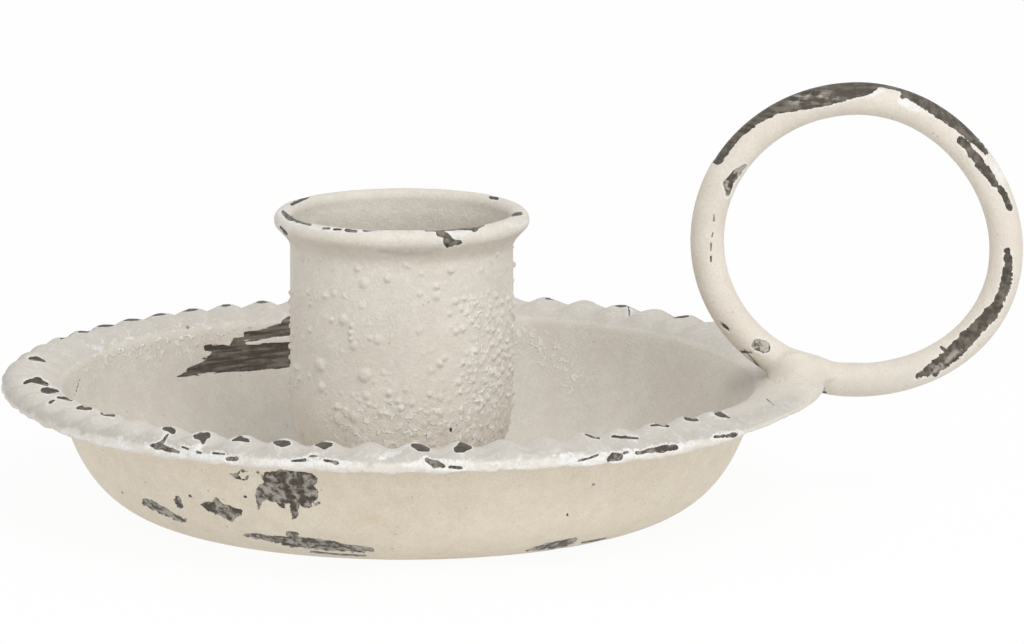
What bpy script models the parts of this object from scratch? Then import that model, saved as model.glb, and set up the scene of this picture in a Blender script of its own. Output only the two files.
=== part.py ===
"""Painted steel chamber candlestick: a pressed saucer with a bumped rim, a drawn candle cup riveted to
its raised centre, and a round-bar ring handle set in a notch of the rim and welded there.

Metres, +Z up. The table is z = 0 and the middle of the outline is x = y = 0. The empty named candlestick
stands on the saucer's upright axis. The cup, its rivet and the washer share an axis a little beside it."""

import math

import bmesh
import bpy
from mathutils import Matrix

MM = 0.001

# Shared by several pieces
SHEET = 1.0 * MM
GAP = 0.3 * MM

# Saucer: flat base, curved wall, flat rim with a ring of radial bumps and a turned-down edge
BASE_RADIUS = 41.5 * MM
WALL_ROUND_RUN = 15.7 * MM
WALL_FLARE = 4.0 * MM
SAUCER_DEPTH = 22.0 * MM
RIM_SHOULDER = 1.4 * MM
RIM_FLAT_WIDTH = 9.9 * MM
RIM_EDGE_HEIGHT = 1.6 * MM
CREST_RISE = 2.85 * MM
RIM_ARCH = 0.75
BUMP_COUNT = 55
BUMP_HALF_HEIGHT = 0.45 * MM
BUMP_END_MARGIN = 0.3 * MM
BUMP_TURN = math.radians(-3.1)
PLAIN_HALF_ANGLE = math.radians(8.0)
STEPS_PER_BUMP = 3
WALL_PARTS = 6

# Candle cup: drawn from sheet, rounded below, with a lip curled outwards, set off the saucer's axis
CUP_SET_OFF = 0.95 * MM
CUP_RADIUS = 19.9 * MM
CUP_HEIGHT = 49.4 * MM
CUP_FLOOR_RADIUS = 9.5 * MM
CUP_CORNER_HEIGHT = 16.0 * MM
CUP_CORNER_PARTS = 5
LIP_CURL_RADIUS = 1.95 * MM
LIP_CURL_GAP = 0.45 * MM
LIP_CURL_PARTS = 8
CUP_STEPS = 48

# Rivet through the cup and the saucer, set over a washer below
SHANK_RADIUS = 2.0 * MM
HEAD_RADIUS = 4.2 * MM
HEAD_HEIGHT = 1.4 * MM
HEAD_FLAT_RADIUS = 2.8 * MM
SET_RADIUS = 3.2 * MM
SET_HEIGHT = 1.2 * MM
WASHER_RADIUS = 5.5 * MM
WASHER_THICKNESS = 0.8 * MM
TABLE_CLEARANCE = 0.6 * MM
PAD_MARGIN = 1.75 * MM
PAD_SLOPE_RUN = 3.0 * MM
RIVET_STEPS = 24

# Ring handle: one closed hoop of round bar, a little wider than tall, upright beside the rim
BAR_RADIUS = 3.0 * MM
HOOP_HALF_WIDTH = 26.6 * MM
HOOP_HALF_HEIGHT = 25.45 * MM
HOOP_OVERHANG = 7.3 * MM
BAR_RISE_AT_EDGE = 0.2 * MM
HOOP_PARTS = 48
BAR_BEVEL_RESOLUTION = 4

# Weld: a collar of weld metal where the bar lands on the rim
WELD_HALF_LENGTH = 9.5 * MM
WELD_SPREAD = 2.7 * MM
WELD_COVER = 1.0 * MM
WELD_SET_IN = 4.4 * MM
WELD_SEGMENTS = 28
WELD_RINGS = 14

SMOOTH_ANGLE = math.radians(40.0)
MERGE = 0.00001

# Heights and places that follow from the sizes above
WALL_KNEE_RADIUS = BASE_RADIUS + WALL_ROUND_RUN
WALL_TOP_RADIUS = WALL_KNEE_RADIUS + WALL_FLARE
SHOULDER_RADIUS = WALL_TOP_RADIUS + RIM_SHOULDER
RIM_RADIUS = SHOULDER_RADIUS + RIM_FLAT_WIDTH
CREST_RADIUS = (SHOULDER_RADIUS + RIM_RADIUS) / 2
BUMP_HALF_LENGTH = RIM_FLAT_WIDTH / 2 - BUMP_END_MARGIN
CUP_INNER_RADIUS = CUP_RADIUS - SHEET
LIP_CURL_END = -math.acos((SHEET + LIP_CURL_GAP) / LIP_CURL_RADIUS - 1)
HOLE_RADIUS = SHANK_RADIUS + GAP
SAUCER_HOLE_RADIUS = HOLE_RADIUS + CUP_SET_OFF
PAD_RADIUS = WASHER_RADIUS + CUP_SET_OFF + PAD_MARGIN
PAD_UNDERSIDE = TABLE_CLEARANCE + SET_HEIGHT + GAP + WASHER_THICKNESS + GAP
CUP_SEAT = PAD_UNDERSIDE + SHEET + GAP
HEAD_SEAT = CUP_SEAT + SHEET + GAP
RIM_EDGE_TOP = SAUCER_DEPTH + RIM_EDGE_HEIGHT
CREST_HEIGHT = SAUCER_DEPTH + CREST_RISE
HOOP_X = RIM_RADIUS + HOOP_OVERHANG
HOOP_DROP_AT_EDGE = HOOP_HALF_HEIGHT * math.sqrt(1 - (HOOP_OVERHANG / HOOP_HALF_WIDTH) ** 2)
HOOP_Z = RIM_EDGE_TOP + BAR_RISE_AT_EDGE + HOOP_DROP_AT_EDGE
AXIS_X = (RIM_RADIUS - HOOP_X - HOOP_HALF_WIDTH - BAR_RADIUS) / 2

CREAM_PAINT = (0.60, 0.54, 0.44)
CUP_PAINT = (0.62, 0.57, 0.47)
WORN_PAINT = (0.57, 0.52, 0.43)
RIVET_PAINT = (0.50, 0.46, 0.38)
WASHER_STEEL = (0.24, 0.23, 0.21)
SATIN = 0.55
DULL = 0.7


def clear_scene():
    for obj in list(bpy.data.objects):
        bpy.data.objects.remove(obj)


def make_collection(name):
    collection = bpy.data.collections.new(name)
    bpy.context.scene.collection.children.link(collection)
    return collection


def make_material(name, colour, roughness, metallic):
    material = bpy.data.materials.new(name)
    material.use_nodes = True
    shader = material.node_tree.nodes["Principled BSDF"]
    shader.inputs["Base Color"].default_value = (*colour, 1.0)
    shader.inputs["Roughness"].default_value = roughness
    shader.inputs["Metallic"].default_value = metallic
    return material


def add_object(name, data, collection, parent, location):
    obj = bpy.data.objects.new(name, data)
    collection.objects.link(obj)
    obj.parent = parent
    obj.location = location
    return obj


def evaluated_mesh(obj):
    bpy.context.view_layer.update()
    graph = bpy.context.evaluated_depsgraph_get()
    return bpy.data.meshes.new_from_object(obj.evaluated_get(graph))


def profile_mesh(name, points, closed):
    """A line of (radius, height) points in the XZ plane, for a Screw to turn."""
    mesh = bpy.data.meshes.new(name)
    edges = [(i, i + 1) for i in range(len(points) - 1)]
    if closed:
        edges.append((len(points) - 1, 0))
    mesh.from_pydata([(radius, 0.0, height) for radius, height in points], edges, [])
    return mesh


def turn(obj, steps):
    screw = obj.modifiers.new("Turn", "SCREW")
    screw.axis = "Z"
    screw.steps = steps
    screw.render_steps = steps
    screw.use_merge_vertices = True
    screw.merge_threshold = MERGE


def thicken(obj):
    """Adds the sheet's thickness on the side that faces away from the turned profile's normals."""
    solidify = obj.modifiers.new("Sheet", "SOLIDIFY")
    solidify.thickness = SHEET
    solidify.offset = -1.0
    solidify.use_even_offset = True


def cut(obj, name, cutter):
    boolean = obj.modifiers.new(name, "BOOLEAN")
    boolean.operation = "DIFFERENCE"
    boolean.solver = "EXACT"
    boolean.object = cutter


def finish(obj, material):
    obj.data.materials.clear()
    obj.data.materials.append(material)
    obj.data.shade_smooth()
    obj.data.set_sharp_from_angle(angle=SMOOTH_ANGLE)


def wall_point(share):
    """A point of the saucer's inner wall, from the base (0) to the rim (1) along a quadratic curve."""
    rest = 1.0 - share
    radius = rest * rest * BASE_RADIUS + 2 * rest * share * WALL_KNEE_RADIUS + share * share * WALL_TOP_RADIUS
    return radius, SHEET + share * share * (SAUCER_DEPTH - SHEET)


def rim_profile():
    """The upper face of the rim, from the top of the wall to the turned-down edge."""
    shoulder_height = SAUCER_DEPTH + RIM_SHOULDER
    inner_radius = (SHOULDER_RADIUS + CREST_RADIUS) / 2
    outer_radius = (CREST_RADIUS + RIM_RADIUS) / 2
    return [
        (SHOULDER_RADIUS, shoulder_height),
        (inner_radius, shoulder_height + RIM_ARCH * (CREST_HEIGHT - shoulder_height)),
        (CREST_RADIUS, CREST_HEIGHT),
        (outer_radius, RIM_EDGE_TOP + RIM_ARCH * (CREST_HEIGHT - RIM_EDGE_TOP)),
        (RIM_RADIUS, RIM_EDGE_TOP),
    ]


def saucer_profile():
    """The upper face of the saucer's sheet, from the rivet hole to the lower end of the turned-down edge."""
    points = [
        (SAUCER_HOLE_RADIUS, PAD_UNDERSIDE + SHEET),
        (PAD_RADIUS, PAD_UNDERSIDE + SHEET),
        (PAD_RADIUS + PAD_SLOPE_RUN, SHEET),
    ]
    points += [wall_point(i / WALL_PARTS) for i in range(WALL_PARTS + 1)]
    points += rim_profile()
    points.append((RIM_RADIUS, SAUCER_DEPTH))
    return points


def smooth_step(value):
    value = min(max(value, 0.0), 1.0)
    return value * value * (3 - 2 * value)


def press_bumps(mesh):
    """Raises and lowers the rim in even radial waves, which stop on both sides of the handle."""
    pitch = 2 * math.pi / BUMP_COUNT
    for vertex in mesh.vertices:
        x, y, z = vertex.co
        across = (math.hypot(x, y) - CREST_RADIUS) / BUMP_HALF_LENGTH
        if abs(across) >= 1:
            continue
        angle = math.atan2(y, x)
        along = smooth_step((abs(angle) - PLAIN_HALF_ANGLE) / pitch)
        wave = math.cos((angle - BUMP_TURN) * BUMP_COUNT)
        vertex.co.z = z + BUMP_HALF_HEIGHT * wave * along * math.cos(across * math.pi / 2) ** 2


def make_saucer(collection, parent, material):
    obj = add_object("saucer", profile_mesh("saucer", saucer_profile(), False), collection, parent, (0, 0, 0))
    # A step of the turn falls on each side of every bump's top and one in the valley after it.
    obj.data.transform(Matrix.Rotation(BUMP_TURN + math.pi / (BUMP_COUNT * STEPS_PER_BUMP), 4, "Z"))
    turn(obj, BUMP_COUNT * STEPS_PER_BUMP)
    mesh = evaluated_mesh(obj)
    obj.modifiers.clear()
    obj.data = mesh
    press_bumps(mesh)
    thicken(obj)
    finish(obj, material)
    return obj


def cup_profile():
    """The inner face of the cup's sheet, from the rivet hole up the wall and over the curled lip."""
    corner_width = CUP_INNER_RADIUS - CUP_FLOOR_RADIUS
    corner_height = CUP_CORNER_HEIGHT - SHEET
    points = [(HOLE_RADIUS, SHEET)]
    for i in range(CUP_CORNER_PARTS + 1):
        angle = math.pi / 2 * i / CUP_CORNER_PARTS
        radius = CUP_FLOOR_RADIUS + corner_width * math.sin(angle)
        points.append((radius, CUP_CORNER_HEIGHT - corner_height * math.cos(angle)))
    curl_radius = CUP_INNER_RADIUS + LIP_CURL_RADIUS
    curl_height = CUP_HEIGHT - LIP_CURL_RADIUS
    for i in range(LIP_CURL_PARTS + 1):
        angle = math.pi + (LIP_CURL_END - math.pi) * i / LIP_CURL_PARTS
        radius = curl_radius + LIP_CURL_RADIUS * math.cos(angle)
        points.append((radius, curl_height + LIP_CURL_RADIUS * math.sin(angle)))
    return points


def make_candle_cup(collection, parent, material):
    mesh = profile_mesh("candle_cup", cup_profile(), False)
    obj = add_object("candle_cup", mesh, collection, parent, (-CUP_SET_OFF, 0, CUP_SEAT))
    turn(obj, CUP_STEPS)
    thicken(obj)
    finish(obj, material)


def make_rivet(collection, parent, material):
    set_seat = PAD_UNDERSIDE - GAP - WASHER_THICKNESS - GAP - HEAD_SEAT
    points = [
        (0.0, HEAD_HEIGHT),
        (HEAD_FLAT_RADIUS, HEAD_HEIGHT),
        (HEAD_RADIUS, HEAD_HEIGHT / 2),
        (HEAD_RADIUS, 0.0),
        (SHANK_RADIUS, 0.0),
        (SHANK_RADIUS, set_seat),
        (SET_RADIUS, set_seat),
        (SET_RADIUS, set_seat - SET_HEIGHT / 2),
        (SHANK_RADIUS, set_seat - SET_HEIGHT),
        (0.0, set_seat - SET_HEIGHT),
    ]
    mesh = profile_mesh("cup_rivet", points, False)
    obj = add_object("cup_rivet", mesh, collection, parent, (-CUP_SET_OFF, 0, HEAD_SEAT))
    turn(obj, RIVET_STEPS)
    finish(obj, material)


def make_washer(collection, parent, material):
    points = [
        (HOLE_RADIUS, 0.0),
        (WASHER_RADIUS, 0.0),
        (WASHER_RADIUS, -WASHER_THICKNESS),
        (HOLE_RADIUS, -WASHER_THICKNESS),
    ]
    mesh = profile_mesh("rivet_washer", points, True)
    place = (-CUP_SET_OFF, 0, PAD_UNDERSIDE - GAP)
    obj = add_object("rivet_washer", mesh, collection, parent, place)
    turn(obj, RIVET_STEPS)
    finish(obj, material)


def make_hoop(name, bar_radius, collection, parent):
    """A closed oval of round bar in the XZ plane, as a mesh."""
    curve = bpy.data.curves.new(name + "_line", "CURVE")
    curve.dimensions = "3D"
    curve.bevel_depth = bar_radius
    curve.bevel_resolution = BAR_BEVEL_RESOLUTION
    spline = curve.splines.new("POLY")
    spline.points.add(HOOP_PARTS - 1)
    spline.use_cyclic_u = True
    for i, point in enumerate(spline.points):
        angle = 2 * math.pi * i / HOOP_PARTS
        point.co = (HOOP_HALF_WIDTH * math.cos(angle), 0.0, HOOP_HALF_HEIGHT * math.sin(angle), 1.0)
    line = add_object(name + "_line", curve, collection, parent, (HOOP_X, 0, HOOP_Z))
    mesh = evaluated_mesh(line)
    bpy.data.objects.remove(line)
    return add_object(name, mesh, collection, parent, (HOOP_X, 0, HOOP_Z))


def make_rim_block(collection, parent):
    """A turned block that fills the rim's place from its upper face down, one gap larger."""
    points = [(radius, height + GAP) for radius, height in rim_profile()]
    points[0] = (WALL_TOP_RADIUS - SHEET, points[0][1])
    points[-1] = (RIM_RADIUS + GAP, points[-1][1])
    points.append((RIM_RADIUS + GAP, 0.0))
    points.append((WALL_TOP_RADIUS - SHEET, 0.0))
    mesh = profile_mesh("rim_block", points, True)
    obj = add_object("rim_block", mesh, collection, parent, (0, 0, 0))
    turn(obj, BUMP_COUNT * STEPS_PER_BUMP)
    return obj


def make_weld(collection, parent, material):
    """A long rounded lump that lies along the bar where it comes down on the rim."""
    centre_x = RIM_RADIUS - WELD_SET_IN
    share = (HOOP_X - centre_x) / HOOP_HALF_WIDTH
    centre_z = HOOP_Z - HOOP_HALF_HEIGHT * math.sqrt(1 - share * share)
    slope = math.atan2(HOOP_HALF_HEIGHT * share, HOOP_HALF_WIDTH * math.sqrt(1 - share * share))
    mesh = bpy.data.meshes.new("handle_weld")
    shape = bmesh.new()
    bmesh.ops.create_uvsphere(shape, u_segments=WELD_SEGMENTS, v_segments=WELD_RINGS, radius=1.0)
    half_width = BAR_RADIUS + GAP + WELD_SPREAD
    half_thickness = BAR_RADIUS + GAP + WELD_COVER
    bmesh.ops.scale(shape, vec=(WELD_HALF_LENGTH, half_width, half_thickness), verts=shape.verts)
    shape.to_mesh(mesh)
    shape.free()
    obj = add_object("handle_weld", mesh, collection, parent, (centre_x, 0, centre_z))
    obj.rotation_euler = (0.0, slope, 0.0)
    finish(obj, material)
    return obj


def main():
    clear_scene()
    parts = make_collection("candlestick")
    cutters = make_collection("cutters")
    axis = add_object("candlestick", None, parts, None, (AXIS_X, 0, 0))

    saucer = make_saucer(parts, axis, make_material("saucer_paint", CREAM_PAINT, SATIN, metallic=0.0))
    make_candle_cup(parts, axis, make_material("cup_paint", CUP_PAINT, SATIN, metallic=0.0))
    make_rivet(parts, axis, make_material("rivet_paint", RIVET_PAINT, SATIN, metallic=0.0))
    make_washer(parts, axis, make_material("washer_steel", WASHER_STEEL, DULL, metallic=1.0))
    hoop = make_hoop("ring_handle", BAR_RADIUS, parts, axis)
    finish(hoop, make_material("handle_paint", WORN_PAINT, SATIN, metallic=0.0))
    weld = make_weld(parts, axis, make_material("weld_paint", WORN_PAINT, DULL, metallic=0.0))

    bar_clearance = make_hoop("bar_clearance", BAR_RADIUS + GAP, cutters, axis)
    rim_block = make_rim_block(cutters, axis)
    for cutter in (bar_clearance, rim_block):
        cutter.hide_render = True
        cutter.display_type = "WIRE"
    cut(saucer, "Handle notch", bar_clearance)
    cut(weld, "Bar clearance", bar_clearance)
    cut(weld, "Rim clearance", rim_block)


main()
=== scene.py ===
# %% [markdown]
# # A painted chamber candlestick
# The object is a low candlestick with a ring to carry it by: a pressed steel saucer with a bumped rim, a
# drawn cup for the candle and a hoop of round bar welded to the rim. It was painted cream over a white
# primer, and the paint is rubbed through to dark steel along the edges. The lesson dresses a fixed model
# of the same object, and that model gives every place and most sizes.

# %% Load the fixed model
import math

import bmesh
import bpy
import numpy as np
from mathutils import Matrix, Vector


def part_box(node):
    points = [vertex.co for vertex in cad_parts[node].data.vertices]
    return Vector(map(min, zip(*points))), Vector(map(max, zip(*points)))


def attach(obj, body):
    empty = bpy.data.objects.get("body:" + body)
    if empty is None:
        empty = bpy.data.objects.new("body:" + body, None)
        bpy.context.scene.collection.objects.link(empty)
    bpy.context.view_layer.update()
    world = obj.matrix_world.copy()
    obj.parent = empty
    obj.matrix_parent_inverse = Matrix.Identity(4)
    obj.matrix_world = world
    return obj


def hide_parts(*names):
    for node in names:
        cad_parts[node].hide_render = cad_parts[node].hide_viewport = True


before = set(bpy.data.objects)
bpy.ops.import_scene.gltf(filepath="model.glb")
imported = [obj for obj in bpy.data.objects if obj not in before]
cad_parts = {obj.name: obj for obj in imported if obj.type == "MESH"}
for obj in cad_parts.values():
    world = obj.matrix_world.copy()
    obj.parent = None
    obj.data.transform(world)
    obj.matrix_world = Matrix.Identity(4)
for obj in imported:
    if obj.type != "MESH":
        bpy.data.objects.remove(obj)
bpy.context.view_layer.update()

for startup_name in ("Cube", "Light", "Camera"):
    if startup_name in bpy.data.objects:
        bpy.data.objects.remove(bpy.data.objects[startup_name])
MM = 0.001


def add_object(name, data):
    """A new object at the origin of the scene."""
    obj = bpy.data.objects.new(name, data)
    bpy.context.scene.collection.objects.link(obj)
    return obj


print("nodes:", sorted(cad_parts))

# %% [markdown]
# ## Camera
# The picture was taken from far away with a long lens, a little above the rim, so the saucer shows as a
# flat oval. A camera can be placed by eye, but here its distance, height and focal length were worked out
# from the ovals of the rim and the cup, whose real sizes are known. The same numbers also tell where a
# point of the object lands in the picture, which is used later to put each worn patch in its place.

# %% Camera
PHOTO_WIDTH = 1024
PHOTO_HEIGHT = 644
FOCAL_PIXELS = 8045.0
SENSOR_WIDTH = 36.0
VIEW_DISTANCE = 1.431
VIEW_ELEVATION = math.radians(11.13)
VIEW_TARGET = Vector((0.0002, 0.0, 0.03335))
MM_PER_PIXEL = VIEW_DISTANCE / FOCAL_PIXELS / MM

to_camera = Vector((0.0, -math.cos(VIEW_ELEVATION), math.sin(VIEW_ELEVATION)))
picture_up = Vector((0.0, math.sin(VIEW_ELEVATION), math.cos(VIEW_ELEVATION)))
camera = add_object("camera", bpy.data.cameras.new("camera"))
camera.data.sensor_width = SENSOR_WIDTH
camera.data.lens = SENSOR_WIDTH * FOCAL_PIXELS / PHOTO_WIDTH
camera.location = VIEW_TARGET + VIEW_DISTANCE * to_camera
camera.rotation_euler = to_camera.to_track_quat("Z", "Y").to_euler()
bpy.context.scene.camera = camera


def in_photo(points):
    """Where points in metres land in the picture, in its pixels."""
    offset = np.asarray(points) - np.array(camera.location)
    depth = offset @ -np.array(to_camera)
    across = PHOTO_WIDTH / 2 + FOCAL_PIXELS * offset[:, 0] / depth
    down = PHOTO_HEIGHT / 2 - FOCAL_PIXELS * (offset @ np.array(picture_up)) / depth
    return np.stack([across, down], axis=1)


print("lens", round(camera.data.lens, 1), "mm,", round(MM_PER_PIXEL, 3), "mm to a pixel")

# %% [markdown]
# ## Nodes as arithmetic
# Both the shapes and the finishes below are node trees. Wiring them by hand in code is long and hard to
# read, so one small class stands for a socket: arithmetic on it adds Math nodes, and its node method adds
# any other node. It works in shader trees and in Geometry Nodes alike.

# %% A socket that does arithmetic


class Wire:
    """One output socket of a node tree."""

    def __init__(self, tree, socket=None):
        self.tree = tree
        self.socket = socket

    def node(self, kind, settings=None, sockets=None, out=None):
        """Adds a node: its type, its settings, then the values or links of its sockets by identifier."""
        node = self.tree.nodes.new(kind)
        for name, value in (settings or {}).items():
            setattr(node, name, value)
        for name, value in (sockets or {}).items():
            socket = next(s for s in node.inputs if s.identifier == name)
            if isinstance(value, Wire):
                self.tree.links.new(value.socket, socket)
            else:
                socket.default_value = value
        if not node.outputs:
            return None
        chosen = [s for s in node.outputs if out in (None, s.identifier)]
        return Wire(self.tree, chosen[0])

    def maths(self, operation, first, second=0.0):
        return self.node("ShaderNodeMath", {"operation": operation}, {"Value": first, "Value_001": second})

    def __add__(self, other):
        return self.maths("ADD", self, other)

    def __radd__(self, other):
        return self.maths("ADD", other, self)

    def __sub__(self, other):
        return self.maths("SUBTRACT", self, other)

    def __rsub__(self, other):
        return self.maths("SUBTRACT", other, self)

    def __mul__(self, other):
        return self.maths("MULTIPLY", self, other)

    def __rmul__(self, other):
        return self.maths("MULTIPLY", other, self)

    def __truediv__(self, other):
        return self.maths("DIVIDE", self, other)

    def __rtruediv__(self, other):
        return self.maths("DIVIDE", other, self)

    def ramp(self, low, high, start=0.0, end=1.0):
        """A smooth change from start to end while this value goes from low to high."""
        sockets = {"Value": self, "From Min": low, "From Max": high, "To Min": start, "To Max": end}
        return self.node("ShaderNodeMapRange", {"interpolation_type": "SMOOTHSTEP"}, sockets, "Result")

    def blend(self, first, second):
        """A colour between two others, with this value as the share of the second."""
        sockets = {"Factor_Float": self, "A_Color": first, "B_Color": second}
        return self.node("ShaderNodeMix", {"data_type": "RGBA"}, sockets, "Result_Color")

    def noise(self, scale, detail=3.0, roughness=0.55):
        """Noise between 0 and 1 over this place, with scale waves to the metre."""
        sockets = {"Vector": self, "Scale": scale, "Detail": detail, "Roughness": roughness}
        return self.node("ShaderNodeTexNoise", None, sockets, "Fac")


print("Wire is ready: operators +, -, *, / and the methods node, maths, ramp, blend and noise")

# %% [markdown]
# ## Paint over steel
# Every surface is the same story: steel, a coat of white primer, and matt cream paint. Where the paint is
# worn, a dark patch of steel shows, often with a white line of primer round it. A picture of the wear could
# be painted on, but then it would only fit one size and one unwrapping. Here each mesh carries a few
# numbers at its points instead: the distance to the nearest bare patch and to the nearest white one, how
# ragged, brushed and pale the bare patch is, how warm, stained and lumpy the paint is, and how much shade is
# painted on it. Lumps are painted lighter, a painted highlight. The material turns the distances into
# sharp, ragged outlines with noise, at any zoom.

# %% Colours and grain of the coats
CREAM_LIGHT = (0.72, 0.682, 0.617, 1.0)
CREAM_DARK = (0.585, 0.547, 0.485, 1.0)
ROSE = (0.655, 0.585, 0.53, 1.0)
WARM_LIGHT = (0.775, 0.702, 0.585, 1.0)
WARM_DARK = (0.635, 0.558, 0.447, 1.0)
STAIN = (0.60, 0.48, 0.27, 1.0)
# Painted shade: the grey-brown that the paint is darkened towards where shade is painted in.
PAINTED_SHADE_COLOUR = (0.45, 0.425, 0.385, 1.0)
# Painted highlight: the pale colour that the lumps of the paint are painted in.
LUMP_HIGHLIGHT = (0.84, 0.82, 0.77, 1.0)
SPECK = (0.33, 0.27, 0.21, 1.0)
PRIMER = (0.745, 0.74, 0.725, 1.0)
STEEL_DARK = (0.046, 0.037, 0.028, 1.0)
STEEL_LIGHT = (0.135, 0.113, 0.087, 1.0)
STEEL_PALE = (0.42, 0.388, 0.34, 1.0)
PAINT_ROUGHNESS = 0.62
PRIMER_ROUGHNESS = 0.75
STEEL_ROUGHNESS = 0.5
STEEL_METALLIC = 0.4
FILM_THICKNESS = 0.16
PAINT_STATE = ("bare", "chalk", "rag", "brush", "pale", "warm", "stain", "soil", "lumps")
STREAK_STRETCH = (0.09, 0.09, 1.0)
STREAK_GRAIN = (1500.0, 4.0, 0.65)

# Each grain has a number of waves to the metre, a detail and a roughness.
GRAINS = {
    "cloud": (60.0, 3.0, 0.55),
    "rose": (110.0, 2.0, 0.55),
    "mottle": (320.0, 4.0, 0.55),
    "scale": (620.0, 4.0, 0.6),
    "torn": (760.0, 5.0, 0.68),
    "lump": (880.0, 2.0, 0.55),
    "speck": (1000.0, 1.0, 0.55),
    "scratch": (1900.0, 2.0, 0.55),
    "grain": (2300.0, 2.0, 0.55),
}

# Each limit says where a grain or a distance in millimetres starts to show and where it shows in full. A
# third number is the share that shows even before the start.
LIMITS = {
    "bare": (0.05, -0.05),
    "scratched": (0.38, 0.70),
    "scaly": (0.44, 0.60),
    "primer": (0.15, -0.15),
    "flecks": (0.38, 0.54, 0.2),
    "cloudy": (0.25, 0.75),
    "shaded": (0.3, 0.7),
    "rosy": (0.48, 0.68),
    "specks": (0.72, 0.80),
    "lumps": (0.52, 0.64),
}
CHALK_RIPPLE = {"torn": 1.7, "mottle": 1.4, "grain": 0.8}
FLECK_SHARES = {"mottle": 0.55, "grain": 0.45}
SCRATCH_SHARES = (0.7, 0.3)
SHADE_SHARES = {"cloud": 0.3, "mottle": 0.3, "grain": 0.4}
ROSE_SHARE = 0.55
SPECK_SHARE = 0.45
LUMP_HIGHLIGHT_SHARE = 0.85
RELIEF = {"mottle": 0.12, "grain": 0.08, "lumps": 0.16, "scratches": 0.05, "specks": 0.05}
print(len(GRAINS) + 1, "grains of the coats, the finest", round(1.0 / GRAINS["grain"][0] / MM, 2), "mm wide")

# %% The paint material


def new_material(name):
    """A material without nodes, and a wire to start its tree from."""
    material = bpy.data.materials.new(name)
    material.use_nodes = True
    material.node_tree.nodes.clear()
    return material, Wire(material.node_tree)


def worn_metal(noise, edge, state):
    """The colour of bare steel: dark, scratched along the brush marks and paler inside large scuffs."""
    brush = state["brush"]
    along, across = SCRATCH_SHARES
    scratched = (noise["streak"] * brush + noise["torn"] * (1.0 - brush)).ramp(*LIMITS["scratched"])
    dark = (scratched * along + noise["scratch"] * across).blend(STEEL_DARK, STEEL_LIGHT)
    scaly = noise["scale"] * (1.0 - brush) + noise["streak"] * brush
    mottled = scaly.ramp(*LIMITS["scaly"]) * edge.ramp(*LIMITS["bare"])
    return (mottled * state["pale"]).blend(dark, STEEL_PALE), scratched


def painted_steel(name):
    """Steel, primer and paint, told apart by the numbers that a mesh carries."""
    material, start = new_material(name)
    place = start.node("ShaderNodeTexCoord", out="Object")
    stretched = start.node("ShaderNodeVectorMath", {"operation": "MULTIPLY"},
                           {"Vector": place, "Vector_001": STREAK_STRETCH}, "Vector")
    noise = {label: place.noise(*look) for label, look in GRAINS.items()}
    noise["streak"] = stretched.noise(*STREAK_GRAIN)
    torn, mottle, grain = (noise[label] for label in ("torn", "mottle", "grain"))
    state = {label: start.node("ShaderNodeAttribute", {"attribute_name": label}, out="Fac")
             for label in PAINT_STATE}

    # Distance to the torn edge of the paint, in millimetres: below zero the steel is bare.
    ripple = (torn - 0.5) * (1.0 - state["brush"]) + (noise["streak"] - 0.5) * state["brush"]
    edge = state["bare"] + state["rag"] * 2.0 * ripple
    steel = edge.ramp(*LIMITS["bare"])
    chalk = state["chalk"]
    for label, depth in CHALK_RIPPLE.items():
        chalk = chalk + (noise[label] - 0.5) * depth
    flecks = mottle * FLECK_SHARES["mottle"] + grain * FLECK_SHARES["grain"]
    primer = chalk.ramp(*LIMITS["primer"]) * flecks.ramp(*LIMITS["flecks"])

    # The paint, lightest to darkest, then painted shade, stains, specks and a painted highlight on lumps.
    cloudy = noise["cloud"].ramp(*LIMITS["cloudy"]) * SHADE_SHARES["cloud"]
    shaded = (noise[label].ramp(*LIMITS["shaded"]) * SHADE_SHARES[label] for label in ("mottle", "grain"))
    depth = sum(shaded, cloudy)
    rosy = noise["rose"].ramp(*LIMITS["rosy"]) * ROSE_SHARE
    cool_paint = rosy.blend(depth.blend(CREAM_DARK, CREAM_LIGHT), ROSE)
    warm_paint = depth.blend(WARM_DARK, WARM_LIGHT)
    paint = state["warm"].blend(cool_paint, warm_paint)
    # Painted shade: the paint is darkened towards the grey-brown where the mesh carries painted shade.
    with_painted_shade = (state["soil"] * (mottle + 0.5)).blend(paint, PAINTED_SHADE_COLOUR)
    stained = (state["stain"] * mottle).blend(with_painted_shade, STAIN)
    specks = noise["speck"].ramp(*LIMITS["specks"]) * SPECK_SHARE
    lumps = noise["lump"].ramp(*LIMITS["lumps"]) * state["lumps"]
    # Painted highlight: the lumps of the paint are painted lighter, on top of their real bump.
    with_lump_highlight = (lumps * LUMP_HIGHLIGHT_SHARE).blend(specks.blend(stained, SPECK), LUMP_HIGHLIGHT)
    coated = primer.blend(with_lump_highlight, PRIMER)
    metal, scratched = worn_metal(noise, edge, state)
    colour = steel.blend(coated, metal)

    film = (1.0 - steel) * FILM_THICKNESS
    raised = film + mottle * RELIEF["mottle"] + grain * RELIEF["grain"] + lumps * RELIEF["lumps"]
    height = raised + scratched * steel * RELIEF["scratches"] - specks * RELIEF["specks"]
    normal = start.node("ShaderNodeBump", None, {"Strength": 1.0, "Distance": MM, "Height": height}, "Normal")
    dull = PAINT_ROUGHNESS + primer * (PRIMER_ROUGHNESS - PAINT_ROUGHNESS)
    roughness = dull + steel * (STEEL_ROUGHNESS - PAINT_ROUGHNESS)
    shader = start.node("ShaderNodeBsdfPrincipled", None, {
        "Base Color": colour,
        "Roughness": roughness,
        "Metallic": steel * STEEL_METALLIC,
        "Normal": normal,
    }, "BSDF")
    start.node("ShaderNodeOutputMaterial", None, {"Surface": shader})
    return material


saucer_paint = painted_steel("saucer_paint")
print("saucer_paint has", len(saucer_paint.node_tree.nodes), "nodes")

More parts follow.
